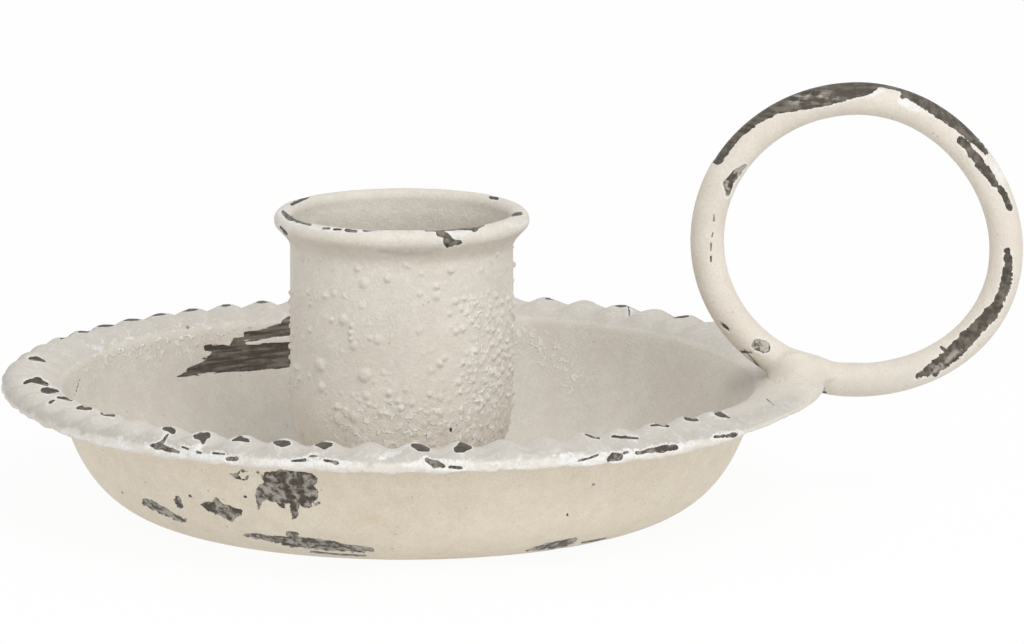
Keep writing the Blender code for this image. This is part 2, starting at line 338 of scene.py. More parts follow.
# %% [markdown]
# ## Turned pieces
# The saucer, the cup, the rivet and the washer are round, so each is one outline turned about an upright
# axis. A Screw modifier would do, but Geometry Nodes let the turning and the pressed bumps of the rim be
# one tree with named sizes. An outline is drawn as radius and height in millimetres, and it is a closed
# loop: up one face of the sheet and back down the other, so that the turned mesh is a closed skin. A slow
# noise can make a turned piece a little uneven, as thin sheet is; of these pieces only the cup gets it.

# %% Outlines


def curve(points, parts):
    """Points along a Bezier curve with any number of handles, the first one left out."""
    points = [np.array(p, float) for p in points]
    line = []
    for share in np.arange(1, parts + 1) / parts:
        level = points
        while len(level) > 1:
            level = [a + (b - a) * share for a, b in zip(level, level[1:])]
        line.append(level[0])
    return line


def arc(centre, radius, start, end, parts):
    """Points round a centre from one angle in degrees to another, both ends included."""
    angles = np.radians(np.linspace(start, end, parts + 1))
    return [np.array((centre[0] + radius * math.cos(a), centre[1] + radius * math.sin(a))) for a in angles]


def sheet_outline(line, thickness):
    """The closed outline of a sheet whose upper face follows the line, with rounded ends."""
    line = np.array(line)
    along = np.gradient(line, axis=0)
    along /= np.linalg.norm(along, axis=1, keepdims=True)
    up = np.stack([-along[:, 1], along[:, 0]], axis=1)
    below = line - up * thickness
    heading = math.degrees(math.atan2(up[-1][1], up[-1][0]))
    end = arc((line[-1] + below[-1]) / 2, thickness / 2, heading, heading - 180, 6)[1:-1]
    heading = math.degrees(math.atan2(up[0][1], up[0][0]))
    first = arc((line[0] + below[0]) / 2, thickness / 2, heading - 180, heading - 360, 4)[1:-1]
    return [*line, *end, *below[::-1], *first]


print("a short strip of sheet has", len(sheet_outline([(0.0, 0.0), (1.0, 0.0)], 1.0)), "points round it")

# %% Start and end of a tree
COMMON_INPUTS = {"Geometry": "Geometry", "Place": "Vector", "Finish": "Material"}


def new_tree(name, inputs):
    """A Geometry Nodes tree with a geometry, a place, a finish and other inputs, as wires by name."""
    tree = bpy.data.node_groups.new(name, "GeometryNodeTree")
    inputs = {**COMMON_INPUTS, **inputs}
    for label, kind in inputs.items():
        tree.interface.new_socket(label, in_out="INPUT", socket_type="NodeSocket" + kind)
    tree.interface.new_socket("Mesh", in_out="OUTPUT", socket_type="NodeSocketGeometry")
    entry = tree.nodes.new("NodeGroupInput")
    return {label: Wire(tree, entry.outputs[label]) for label in inputs}


def end_tree(given, skin):
    """The last nodes of a tree: the skin at its place, smooth shading, real geometry and the finish."""
    placed = skin.node("GeometryNodeTransform", None, {"Geometry": skin, "Translation": given["Place"]})
    smooth = skin.node("GeometryNodeSetShadeSmooth", None, {"Geometry": placed})
    real = skin.node("GeometryNodeRealizeInstances", None, {"Geometry": smooth})
    done = skin.node("GeometryNodeSetMaterial", None, {"Geometry": real, "Material": given["Finish"]})
    skin.tree.links.new(done.socket, skin.tree.nodes.new("NodeGroupOutput").inputs[0])
    return skin.tree


print("every tree has the inputs", ", ".join(COMMON_INPUTS))

# %% A tree that turns an outline
WHEEL = 0.05
QUARTER_TURN = (math.pi / 2, 0.0, 0.0)
UNEVEN_SCALE = 70.0


def circle(start, steps, radius):
    sockets = {"Resolution": steps, "Radius": radius}
    return start.node("GeometryNodeCurvePrimitiveCircle", {"mode": "RADIUS"}, sockets, "Curve")


def scaled(vector, amount):
    sockets = {"Vector": vector, "Scale": amount}
    return vector.node("ShaderNodeVectorMath", {"operation": "SCALE"}, sockets, "Vector")


def shift(skin, offset):
    return skin.node("GeometryNodeSetPosition", None, {"Geometry": skin, "Offset": offset})


def push(skin, depth):
    """Moves a skin along its normals by a depth."""
    return shift(skin, scaled(skin.node("GeometryNodeInputNormal"), depth))


def sway(skin, amount):
    """Shifts a thin skin as a whole, both faces alike, by a slow noise in every direction."""
    sockets = {"Vector": skin.node("GeometryNodeInputPosition"), "Scale": UNEVEN_SCALE, "Detail": 1.0}
    drift = skin.node("ShaderNodeTexNoise", None, sockets, "Color")
    centred = skin.node("ShaderNodeVectorMath", {"operation": "SUBTRACT"},
                        {"Vector": drift, "Vector_001": (0.5, 0.5, 0.5)}, "Vector")
    return shift(skin, scaled(centred, amount))


def turn_outline(given):
    """Nodes that carry the outline round a circle: its radius stays radius and its height stays height."""
    start = given["Geometry"]
    line = start.node("GeometryNodeMeshToCurve", None, {"Mesh": start})
    sockets = {"Geometry": line, "Translation": (-WHEEL, 0.0, 0.0), "Rotation": QUARTER_TURN}
    laid = start.node("GeometryNodeTransform", None, sockets)
    wheel = circle(start, given["Steps"], WHEEL)
    upright = start.node("GeometryNodeSetCurveNormal", {"mode": "Z_UP"}, {"Curve": wheel})
    return start.node("GeometryNodeCurveToMesh", None, {"Curve": upright, "Profile Curve": laid})


def turning_tree():
    """A tree for plain round pieces: an outline, turned and swayed."""
    given = new_tree("turned_piece", {"Steps": "Int", "Uneven": "Float"})
    return end_tree(given, sway(turn_outline(given), given["Uneven"]))


turned_piece = turning_tree()
print("turned_piece has", len(turned_piece.nodes), "nodes")

# %% From a tree to a plain mesh
MERGE = 1e-6


def close_mesh(mesh):
    """Merges the seam's doubled points and turns every face outwards."""
    shape = bmesh.new()
    shape.from_mesh(mesh)
    bmesh.ops.remove_doubles(shape, verts=shape.verts, dist=MERGE)
    bmesh.ops.recalc_face_normals(shape, faces=shape.faces)
    open_edges = sum(not edge.is_manifold for edge in shape.edges)
    triangles = sum(len(face.verts) - 2 for face in shape.faces)
    shape.to_mesh(mesh)
    shape.free()
    print(mesh.name, "has", triangles, "triangles and", open_edges, "open edges")


def outline_object(name, outline=(), closed=True):
    """An outline in millimetres as an object of points and edges, for a tree to work on."""
    count = len(outline)
    edges = [(i, (i + 1) % count) for i in range(count if closed else count - 1)]
    mesh = bpy.data.meshes.new(name)
    mesh.from_pydata([(r * MM, 0.0, z * MM) for r, z in outline], edges, [])
    return add_object(name, mesh)


def grow(obj, tree, values):
    """Runs a tree on an object's mesh and leaves the result as its plain mesh."""
    modifier = obj.modifiers.new("shape", "NODES")
    modifier.node_group = tree
    for item in tree.interface.items_tree:
        if item.name in values:
            modifier[item.identifier] = values[item.name]
    bpy.context.view_layer.update()
    graph = bpy.context.evaluated_depsgraph_get()
    grown = bpy.data.meshes.new_from_object(obj.evaluated_get(graph))
    obj.modifiers.clear()
    old = obj.data
    obj.data = grown
    bpy.data.meshes.remove(old)
    grown.name = obj.name
    close_mesh(grown)
    return obj


print("points nearer than", MERGE / MM, "mm are merged")

# %% [markdown]
# ## Saucer
# The saucer is a disc of thin sheet pressed into a pan. Its rim is a soft arch with a ring of rounded
# radial bumps and an edge turned down. The bumps could be modelled one by one, but they are a wave round
# the rim: its height is a cosine of the angle, it fades towards both sides of the rim, and it stops on
# both sides of the handle. That rule is a few Math nodes on the turned skin. More nodes make the rim as
# uneven as the old one is: it bulges beside the handle, sticks out in a small ear before that, hangs low in
# front and at the back left, has one more bump crowded in at the back left, and its edge is lumpy with paint.

# %% Saucer sizes
saucer_low, saucer_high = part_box("saucer")
AXIS = Vector(((saucer_low.x + saucer_high.x) / 2, 0.0, 0.0))
RIM_RADIUS = (saucer_high.x - saucer_low.x) / 2 / MM
SHEET = 1.0
SAUCER_HOLE_RADIUS = 3.25
PAD_TOP = 4.2
PAD_EDGE = 8.2
PAD_FOOT = 11.2
PAD_SOFT = 0.6
BASE_RADIUS = 41.5
WALL_KNEE = 57.2
WALL_TOP = (61.2, 22.0)
RIM_START = (61.5, 23.4)
RIM_INNER_SHOULDER = 63.6
RIM_CREST = (67.4, 24.85)
RIM_OUTER_SHOULDER = 70.2
EDGE_MARGIN = 0.12
EDGE_RADIUS = RIM_RADIUS - EDGE_MARGIN
LIP_FOOT = 22.0
LIP_ROUND = ((EDGE_RADIUS - 0.1, 24.3), (EDGE_RADIUS, 23.0))
LIP_END = ((EDGE_RADIUS + 0.02, 22.6), (EDGE_RADIUS - 0.15, LIP_FOOT + SHEET / 2))
BUMP_COUNT = 55
SAUCER_STEPS = 10 * BUMP_COUNT
RIM_LENGTHS = {
    "Bump height": 0.7,
    "Bump inner radius": 62.0,
    "Bump outer radius": 72.6,
    "Bump end": 2.5,
    "Bulge": 2.0,
    "Bulge start": 60.0,
    "Bulge ramp": 3.2,
    "Ear": 0.7,
    "Ear drop": 0.6,
    "Ear start": 65.0,
    "Front drop": 1.05,
    "Sag": 0.5,
    "Lip radius": EDGE_RADIUS,
    "Lip lumps": 0.4,
}
RIM_ANGLES = {
    "Bump turn": -3.1,
    "Crowd angle": 100.0,
    "Plain angle": 32.0,
    "Bulge angle": -3.0,
    "Bulge spread": 48.0,
    "Ear angle": -50.0,
    "Ear spread": 24.0,
    "Front angle": -95.0,
    "Front spread": 75.0,
    "Sag angle": 135.0,
}
rim_sizes = {label: length * MM for label, length in RIM_LENGTHS.items()}
rim_sizes.update({label: math.radians(angle) for label, angle in RIM_ANGLES.items()})
print("saucer", round(2 * RIM_RADIUS, 1), "mm across, with", len(rim_sizes), "sizes for its rim")


def saucer_line():
    """The upper face of the sheet, from the rivet hole to the foot of the turned-down edge."""
    crest_height = RIM_CREST[1]
    line = [np.array((SAUCER_HOLE_RADIUS, PAD_TOP))]
    line += curve([line[-1], (PAD_EDGE - 2 * PAD_SOFT, PAD_TOP)], 2)
    middle = (PAD_EDGE + PAD_FOOT) / 2
    line += curve([line[-1], (PAD_EDGE + PAD_SOFT, PAD_TOP), (middle, PAD_TOP), (middle, SHEET),
                   (PAD_FOOT - PAD_SOFT, SHEET), (PAD_FOOT + 2 * PAD_SOFT, SHEET)], 8)
    line += curve([line[-1], (BASE_RADIUS, SHEET)], 5)
    line += curve([line[-1], (WALL_KNEE, SHEET), WALL_TOP], 22)
    line += curve([WALL_TOP, RIM_START, (RIM_INNER_SHOULDER, crest_height), RIM_CREST], 9)
    line += curve([RIM_CREST, (RIM_OUTER_SHOULDER, crest_height), *LIP_ROUND], 9)
    line += curve([line[-1], *LIP_END], 2)
    return line


# %% A tree that turns the saucer and presses its bumps
ROUNDNESS = 0.6
FAR_END = (-1.0, -0.8)
STRAIGHT_SIDE = 0.95
RIM_HEIGHTS = (16.0 * MM, 21.0 * MM)
LIP_HEIGHTS = (24.3 * MM, 22.5 * MM)
HANGING_WIDTH = (-2.0 * MM, -1.0 * MM)
LUMPY_WIDTH = (-1.2 * MM, 0.0)
LIP_LUMP_SCALE = 520.0
LUMPY_LIMITS = (0.3, 0.7)


def saucer_tree():
    """A tree for the saucer: an outline, turned, with the bumps and the unevenness of its rim."""
    inputs = {label: "Float" for label in rim_sizes}
    given = new_tree("pressed_saucer", {"Steps": "Int", "Bump count": "Float", **inputs})
    skin = turn_outline(given)
    position = skin.node("GeometryNodeInputPosition")
    x, y, z = (skin.node("ShaderNodeSeparateXYZ", None, {"Vector": position}, way) for way in "XYZ")
    radius = x.maths("SQRT", x * x + y * y)
    angle = x.maths("ARCTAN2", y, x)
    past_edge = radius - given["Lip radius"]
    above = z.ramp(*RIM_HEIGHTS)

    # The bumps: a wave with rounded tops and sharper valleys.
    inner_end = ((radius - given["Bump inner radius"]) / given["Bump end"]).ramp(0.0, 1.0)
    outer_end = ((given["Bump outer radius"] - radius) / given["Bump end"]).ramp(0.0, 1.0)
    crowd = (angle - given["Crowd angle"]) / (math.pi - given["Crowd angle"])
    extra = crowd.maths("MAXIMUM", crowd, 0.0) * (2 * math.pi)
    turned = (angle - given["Bump turn"]) * given["Bump count"] + extra
    ridge = turned.maths("ABSOLUTE", turned.maths("COSINE", turned * 0.5)) * 2.0 - 1.0
    wave = turned.maths("COSINE", turned) * ROUNDNESS + ridge * (1.0 - ROUNDNESS)
    off_handle = angle.maths("ABSOLUTE", angle) - given["Plain angle"]
    fade = (off_handle * given["Bump count"] / (2 * math.pi)).ramp(0.0, 1.0)
    low_side = angle.maths("COSINE", angle).ramp(*FAR_END, STRAIGHT_SIDE, 1.0)
    rise = wave * inner_end * outer_end * fade * low_side * given["Bump height"]

    # The unevenness: sag, bulge, ear and low front.
    lean = angle.maths("COSINE", angle - given["Sag angle"])
    hang = lean.maths("MAXIMUM", lean, 0.0)
    drop = hang * hang * given["Sag"]

    def near(label, full=1.0):
        gap = angle.maths("ABSOLUTE", angle - given[label + " angle"])
        return (1.0 - gap / given[label + " spread"]).ramp(0.0, full)

    def beyond(label):
        return ((radius - given[label + " start"]) / given["Bulge ramp"]).ramp(0.0, 1.0)

    bulge = near("Bulge") * beyond("Bulge")
    ear = near("Ear") * beyond("Ear") * above
    wider = (bulge * given["Bulge"] + ear * given["Ear"]) / radius
    hanging = z.ramp(*LIP_HEIGHTS) * past_edge.ramp(*HANGING_WIDTH)
    lower = ear * given["Ear drop"] + near("Front", 0.5) * given["Front drop"] * hanging
    offset = skin.node("ShaderNodeCombineXYZ", None,
                       {"X": x * wider, "Y": y * wider, "Z": (rise - drop) * above - lower})

    on_lip = past_edge.ramp(*LUMPY_WIDTH) * above * (1.0 - bulge)
    lumps = position.noise(LIP_LUMP_SCALE, 2.0).ramp(*LUMPY_LIMITS) * on_lip * given["Lip lumps"]
    return end_tree(given, push(shift(skin, offset), lumps * -1.0))


saucer = outline_object("saucer_pressed", sheet_outline(saucer_line(), SHEET))
grow(saucer, saucer_tree(), {
    "Steps": SAUCER_STEPS,
    "Bump count": float(BUMP_COUNT),
    "Place": AXIS,
    "Finish": saucer_paint,
    **rim_sizes,
})

# %% [markdown]
# ## Candle cup
# The cup is drawn from sheet: a straight wall, a rounded bottom and a lip rolled outwards into a bead. It
# stands a little off the saucer's axis. It is turned like the saucer, with close rows on the outside, where
# the next step needs them.

# %% Cup outline
cup_low, cup_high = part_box("candle_cup")
CUP_AXIS = Vector(((cup_low.x + cup_high.x) / 2, 0.0, 0.0))
BEAD_RADIUS = 1.75
LIP_OVERHANG = 2.9
CUP_STEPS = 440
CUP_UNEVEN = 0.35
CUP_MARGIN = 0.1
CUP_HOLE_RADIUS = 2.3
LIP_RADIUS = (cup_high.x - cup_low.x) / 2 / MM - CUP_MARGIN
CUP_RADIUS = LIP_RADIUS - LIP_OVERHANG
CUP_FLOOR_RADIUS = 9.5
CUP_CORNER_HEIGHT = 16.0
CUP_CORNER_ROWS = 45
CUP_WALL_ROWS = 88
CUP_NECK = 4.9
NECK_CURVE = ((0.0, 3.6), (1.1, 2.5))
THROAT_CURVE = (1.5, 2.0, 4.0)
CUP_UNDERSIDE = cup_low.z / MM
BEAD_CENTRE = (LIP_RADIUS - BEAD_RADIUS, cup_high.z / MM - BEAD_RADIUS - CUP_MARGIN)


def cup_outline():
    """Out along the underside, up the wall, over the bead and down inside."""
    corner_top = CUP_UNDERSIDE + CUP_CORNER_HEIGHT
    inner_radius = CUP_RADIUS - SHEET
    line = [np.array((CUP_HOLE_RADIUS, CUP_UNDERSIDE))]
    line += curve([line[-1], (CUP_FLOOR_RADIUS, CUP_UNDERSIDE)], 2)
    for angle in np.radians(np.linspace(0, 90, CUP_CORNER_ROWS + 1)[1:]):
        radius = CUP_FLOOR_RADIUS + (CUP_RADIUS - CUP_FLOOR_RADIUS) * math.sin(angle)
        line.append(np.array((radius, corner_top - CUP_CORNER_HEIGHT * math.cos(angle))))
    bead_height = BEAD_CENTRE[1]
    wall_end = (CUP_RADIUS, bead_height - CUP_NECK)
    line += curve([line[-1], wall_end], CUP_WALL_ROWS)
    bead = arc(BEAD_CENTRE, BEAD_RADIUS, -50, 180, 26)
    neck = [(CUP_RADIUS + outwards, bead_height - below) for outwards, below in NECK_CURVE]
    line += curve([wall_end, *neck, bead[0]], 12)
    line += bead[1:]
    radii = (line[-1][0], inner_radius, inner_radius)
    throat = [(radius, bead_height - below) for radius, below in zip(radii, THROAT_CURVE)]
    line += curve([line[-1], *throat], 5)
    line += curve([line[-1], (inner_radius, corner_top)], 10)
    for angle in np.radians(np.linspace(90, 0, 10)[1:]):
        radius = CUP_FLOOR_RADIUS + (inner_radius - CUP_FLOOR_RADIUS) * math.sin(angle)
        line.append(np.array((radius, corner_top - (CUP_CORNER_HEIGHT - SHEET) * math.cos(angle))))
    line += curve([line[-1], (CUP_HOLE_RADIUS, CUP_UNDERSIDE + SHEET)], 2)
    return line


cup_paint = painted_steel("cup_paint")
cup = grow(outline_object("candle_cup_drawn", cup_outline()), turned_piece,
           {"Steps": CUP_STEPS, "Place": CUP_AXIS, "Uneven": CUP_UNEVEN * MM, "Finish": cup_paint})

# %% [markdown]
# ## Blisters
# The cup's paint went on over rust, so its wall is covered with small blisters: a few large ones, and a
# rash of fine ones on the right and low down. They could be a bump in the material, but they show at the
# wall's edge, so they are real bulges. The large ones are given in pixels of the picture, and the fine
# ones are placed at random with a fixed seed. All of them are points that carry a width and a height, and
# a tree pushes each place of the wall out by how near it is to the nearest of these points.

# %% Blister places
BLISTERS = [
    (344, 320, 5.0), (364, 283, 4.8), (362, 307, 3.0), (334, 294, 3.0), (344, 297, 2.4), (316, 299, 2.4),
    (325, 318, 2.4), (437, 297, 3.8), (419, 331, 3.4), (390, 338, 2.0), (369, 325, 2.4), (354, 346, 3.8),
    (341, 351, 2.4), (320, 365, 6.0), (364, 375, 6.5), (322, 387, 4.8), (366, 395, 4.0), (352, 395, 2.4),
    (431, 371, 3.0), (455, 342, 2.4), (473, 339, 2.8), (452, 327, 2.0), (482, 269, 3.0), (479, 326, 2.4),
    (497, 323, 2.8), (504, 294, 2.4), (490, 337, 2.8), (484, 359, 2.8), (430, 350, 2.0), (387, 375, 2.0),
    (406, 390, 2.8), (338, 419, 6.0), (345, 411, 4.3), (354, 417, 5.0), (354, 433, 3.8), (366, 440, 3.4),
    (311, 424, 2.0), (440, 397, 3.8), (448, 400, 2.8), (451, 411, 2.4), (428, 414, 3.0), (401, 415, 2.8),
    (411, 414, 2.4), (501, 395, 3.8), (492, 402, 2.8), (378, 341, 4.0), (383, 372, 2.6), (508, 388, 3.0),
]
BLISTER_SPREAD = 1.25
BLISTER_RISE = 0.33
BLISTER_TOP = 4.2
RASH_LEAST = 0.035
RASH_MOST = 0.6
RASH_ZONES = (((440, 60), (285, 30)), ((330, 40), (385, 25)))
RASH_TRIES = 6500
RASH_SEED = 5
RASH_SIZES = (0.3, 0.75)
RASH_RISE = 0.7
RASH_ROOM = 0.9
WALL_FACING = 0.5
FRONT_FACING = 0.05


def mesh_points(obj):
    """The places and normals of an object's points, as rows."""
    count = len(obj.data.vertices)
    places = np.empty(count * 3, np.float32)
    normals = np.empty(count * 3, np.float32)
    obj.data.vertices.foreach_get("co", places)
    obj.data.vertex_normals.foreach_get("vector", normals)
    return places.reshape(-1, 3).astype(float), normals.reshape(-1, 3).astype(float)


def rash_share(pixel):
    """How likely a fine blister is at a pixel of the picture: most on the right and low down."""
    zones = [math.prod(np.clip((place - start) / run, 0.0, 1.0) for place, (start, run) in zip(pixel, zone))
             for zone in RASH_ZONES]
    return RASH_LEAST + RASH_MOST * max(zones)


def blister_points():
    """Places on the cup's outer wall with a width and a height each, in metres."""
    places, normals = mesh_points(cup)
    centred = places - np.array(CUP_AXIS)
    outward = (normals[:, :2] * centred[:, :2]).sum(axis=1)
    outside = outward > WALL_FACING * np.hypot(centred[:, 0], centred[:, 1])
    outside &= centred[:, 2] < (BEAD_CENTRE[1] - BLISTER_TOP) * MM
    wall = np.flatnonzero(outside)
    front = wall[normals[wall] @ np.array(to_camera) > FRONT_FACING]
    pixels = in_photo(places)
    chosen = []
    for across, down, size in BLISTERS:
        nearest = front[np.argmin(np.hypot(*(pixels[front] - (across, down)).T))]
        width = size * MM_PER_PIXEL * BLISTER_SPREAD
        chosen.append((*places[nearest], width * MM, width * BLISTER_RISE * MM))

    # A point at the back takes its chance from the point half a turn away.
    turned = in_photo((places - np.array(CUP_AXIS)) * (-1, -1, 1) + np.array(CUP_AXIS))
    behind = normals @ np.array(to_camera) < 0
    pixels[behind] = turned[behind]
    chance = np.random.default_rng(RASH_SEED)
    for index in chance.choice(wall, RASH_TRIES):
        width = chance.uniform(*RASH_SIZES) * MM
        wanted = chance.random() < rash_share(pixels[index])
        taken = np.array(chosen)
        room = np.linalg.norm(taken[:, :3] - places[index], axis=1) - taken[:, 3] * RASH_ROOM
        if wanted and room.min() > width:
            chosen.append((*places[index], width, width * RASH_RISE))
    return np.array(chosen)


blister_rows = blister_points()
print(len(BLISTERS), "large blisters and", len(blister_rows) - len(BLISTERS), "fine ones")

# %% A tree that raises the blisters
CRUMPLE = 0.42 * MM
CRUMPLE_SCALE = 950.0
DOME = (1.0, 0.4)


def blister_tree():
    """A tree that pushes a wall out round the points of another object."""
    given = new_tree("blistered_wall", {"Blisters": "Object"})
    wall = given["Geometry"]
    spots = wall.node("GeometryNodeObjectInfo", None, {"Object": given["Blisters"]}, "Geometry")
    position = wall.node("GeometryNodeInputPosition")
    sockets = {"Vector": position, "Scale": CRUMPLE_SCALE, "Detail": 2.0}
    drift = wall.node("ShaderNodeTexNoise", None, sockets, "Color")
    sockets = {"Vector": drift, "Vector_001": (CRUMPLE,) * 3, "Vector_002": (-CRUMPLE / 2,) * 3}
    offset = wall.node("ShaderNodeVectorMath", {"operation": "MULTIPLY_ADD"}, sockets, "Vector")
    crumpled = wall.node("ShaderNodeVectorMath", {"operation": "ADD"},
                         {"Vector": position, "Vector_001": offset}, "Vector")
    nearest = wall.node("GeometryNodeSampleNearest", None, {"Geometry": spots, "Sample Position": crumpled})

    def of_spot(kind, value):
        return wall.node("GeometryNodeSampleIndex", {"data_type": kind},
                         {"Geometry": spots, "Value": value, "Index": nearest})

    def stored(label):
        return wall.node("GeometryNodeInputNamedAttribute", {"data_type": "FLOAT"}, {"Name": label})

    middle = of_spot("FLOAT_VECTOR", position)
    width, rise = (of_spot("FLOAT", stored(label)) for label in ("width", "rise"))
    gap = wall.node("ShaderNodeVectorMath", {"operation": "DISTANCE"},
                    {"Vector": crumpled, "Vector_001": middle}, "Value")
    return end_tree(given, push(wall, (gap / width).ramp(*DOME) * rise))


def point_object(name, rows):
    """A mesh of loose points with a width and a rise each."""
    mesh = bpy.data.meshes.new(name)
    mesh.from_pydata([tuple(row[:3]) for row in rows], [], [])
    for label, column in (("width", 3), ("rise", 4)):
        attribute = mesh.attributes.new(label, "FLOAT", "POINT")
        attribute.data.foreach_set("value", rows[:, column].astype(np.float32))
    return add_object(name, mesh)


blister_guide = point_object("blister_places", blister_rows)
grow(cup, blister_tree(), {"Blisters": blister_guide, "Finish": cup_paint})
bpy.data.objects.remove(blister_guide)

# %% [markdown]
# ## Ring handle
# The handle is one length of round bar bent into a hoop. It is a circle carried along an oval, which
# Geometry Nodes do with a curve, a profile and two radii. Bar that was bent by hand is never quite even:
# the hoop is pulled in at its upper right and out at its lower right, and a slow noise pushes the surface
# in by a few hundredths of a millimetre.

# %% Ring
ring_low, ring_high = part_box("ring_handle")
BAR_RADIUS = (ring_high.y - ring_low.y) / 2 / MM
RING_CENTRE = (ring_low + ring_high) / 2
RING_MARGIN = 0.09
RING_HALF_WIDTH = (ring_high.x - ring_low.x) / 2 / MM - BAR_RADIUS - RING_MARGIN
RING_HALF_HEIGHT = (ring_high.z - ring_low.z) / 2 / MM - BAR_RADIUS
RING_BEND = 0.85
BEND_PEAK = 2 / math.sqrt(27)
BAR_UNEVEN = 0.04
BAR_UNEVEN_SCALE = 90.0
BAR_UNEVEN_LIMITS = (0.2, 0.8)
BAR_SIDES = 56
RING_STEPS = 480


def ring_tree():
    """A tree that carries a round bar along a bent oval."""
    given = new_tree("bent_ring", {"Steps": "Int", "Sides": "Int", "Half size": "Vector", "Bar": "Float",
                                   "Bend": "Float", "Uneven": "Float"})
    start = given["Geometry"]
    place = start.node("GeometryNodeInputPosition")
    x, y = (start.node("ShaderNodeSeparateXYZ", None, {"Vector": place}, way) for way in "XY")
    right = x.maths("MAXIMUM", x, 0.0)
    pull = right * right * y * given["Bend"] * (-1.0 / BEND_PEAK)
    bent = shift(circle(start, given["Steps"], 1.0), scaled(place, pull))
    oval = start.node("GeometryNodeTransform", None, {"Geometry": bent, "Scale": given["Half size"]})
    upright = start.node("GeometryNodeTransform", None, {"Geometry": oval, "Rotation": QUARTER_TURN})
    bar = circle(start, given["Sides"], given["Bar"])
    skin = start.node("GeometryNodeCurveToMesh", None, {"Curve": upright, "Profile Curve": bar})
    wobble = skin.node("GeometryNodeInputPosition").noise(BAR_UNEVEN_SCALE, 2.0)
    return end_tree(given, push(skin, wobble.ramp(*BAR_UNEVEN_LIMITS) * given["Uneven"] * -1.0))


ring = grow(outline_object("ring_handle_bent"), ring_tree(), {
    "Steps": RING_STEPS,
    "Sides": BAR_SIDES,
    "Half size": (RING_HALF_WIDTH * MM, RING_HALF_HEIGHT * MM, 1.0),
    "Bar": BAR_RADIUS * MM,
    "Bend": RING_BEND / RING_HALF_WIDTH,
    "Uneven": BAR_UNEVEN * MM,
    "Place": RING_CENTRE,
    "Finish": painted_steel("handle_paint"),
})

# %% [markdown]
# ## Weld
# Where the bar lands on the rim the two are welded, and paint has filled the corner to a soft hollow. Such
# a blend could be sculpted, or come from a Remesh of both pieces. Here it is the surface where a smooth
# minimum of two distances is zero: the distance to the bar and the distance to the rim. A ball of points
# is moved out from its middle until each point meets that surface, and elsewhere it stays just inside the
# bar or the rim, so only the hollow shows.

# %% Distance to the blend of bar and rim
WELD_BLEND = 5.5
WELD_FRONT_BLEND = 6.5
WELD_INNER_BLEND = 0.8
WELD_RAMP = (61.8, 70.0)
WELD_FOOT = (21.5, 24.0)
WELD_END = (70.5, 75.0)
WELD_LAST = (73.0, 79.0)
WELD_LAST_SHARE = 0.25
WELD_FRONT = (0.5, 4.5)
WELD_SINK = 0.06
WELD_DEEP_SINK = 0.35
WELD_DEEP = (8.0, 13.0)
RIM_POINTS = 20
BAR_PART = np.linspace(-1.0, -0.25, 90) * math.pi
SHORTEST_RUN = 1e-9


def smooth_step(value, low=0.0, high=1.0):
    """A smooth change from 0 to 1 while a value goes from low to high."""
    share = np.clip((value - low) / (high - low), 0.0, 1.0)
    return share * share * (3.0 - 2.0 * share)


def line_distance(points, line, widths):
    """Distance from points to the edge of a chain of straight pieces, with one width or one for each end."""
    widths = np.broadcast_to(widths, len(line))
    best = np.full(len(points), np.inf)
    for a, b, start_width, end_width in zip(line, line[1:], widths, widths[1:]):
        run = b - a
        share = np.clip((points - a) @ run / max(run @ run, SHORTEST_RUN), 0.0, 1.0)
        gap = np.linalg.norm(points - a - share[:, None] * run, axis=1)
        best = np.minimum(best, gap - (start_width + (end_width - start_width) * share) / 2)
    return best


def weld_field(points):
    """How far points, in millimetres from the dish axis, lie outside the blend of bar and rim."""
    centre = (RING_CENTRE - AXIS) / MM
    bar = np.stack([centre.x + RING_HALF_WIDTH * np.cos(BAR_PART), 0 * BAR_PART,
                    centre.z + RING_HALF_HEIGHT * np.sin(BAR_PART)], axis=1)
    to_bar = line_distance(points, bar, 2 * BAR_RADIUS)
    radius = np.hypot(points[:, 0], points[:, 1])
    angle = np.arctan2(points[:, 1], points[:, 0])
    near_bulge = smooth_step(1.0 - np.abs(angle - rim_sizes["Bulge angle"]) / rim_sizes["Bulge spread"])
    past_start = smooth_step((radius - RIM_LENGTHS["Bulge start"]) / RIM_LENGTHS["Bulge ramp"])
    flat = np.stack([radius - RIM_LENGTHS["Bulge"] * near_bulge * past_start, points[:, 2]], axis=1)
    rim = np.array(saucer_line())[-RIM_POINTS:] - np.array((0.0, SHEET / 2))
    to_rim = line_distance(flat, rim, SHEET)
    outside = smooth_step(radius, *WELD_RAMP)
    above = smooth_step(points[:, 2], *WELD_FOOT)
    front = smooth_step(-points[:, 1], *WELD_FRONT) * (1.0 - smooth_step(radius, *WELD_END))
    lasting = 1.0 - (1.0 - WELD_LAST_SHARE) * smooth_step(radius, *WELD_LAST)
    full = WELD_BLEND * lasting + WELD_FRONT_BLEND * front
    blend = WELD_INNER_BLEND + (full - WELD_INNER_BLEND) * outside * above
    mixing = np.clip(0.5 + 0.5 * (to_rim - to_bar) / blend, 0.0, 1.0)
    deep = smooth_step(to_bar, *WELD_DEEP) + smooth_step(WELD_FOOT[1] - points[:, 2])
    sink = WELD_SINK + WELD_DEEP_SINK * deep
    return to_rim + (to_bar - to_rim) * mixing - blend * mixing * (1 - mixing) + sink


crest_field = weld_field(np.array([(RIM_CREST[0], 0.0, RIM_CREST[1])]))
print("the rim's crest lies", round(-float(crest_field[0]), 2), "mm inside the blend")

# %% Weld
WELD_REACH = 17.5
WELD_SET_IN = 4.6
WELD_HALVINGS = 18
WELD_SUBDIVISIONS = 6


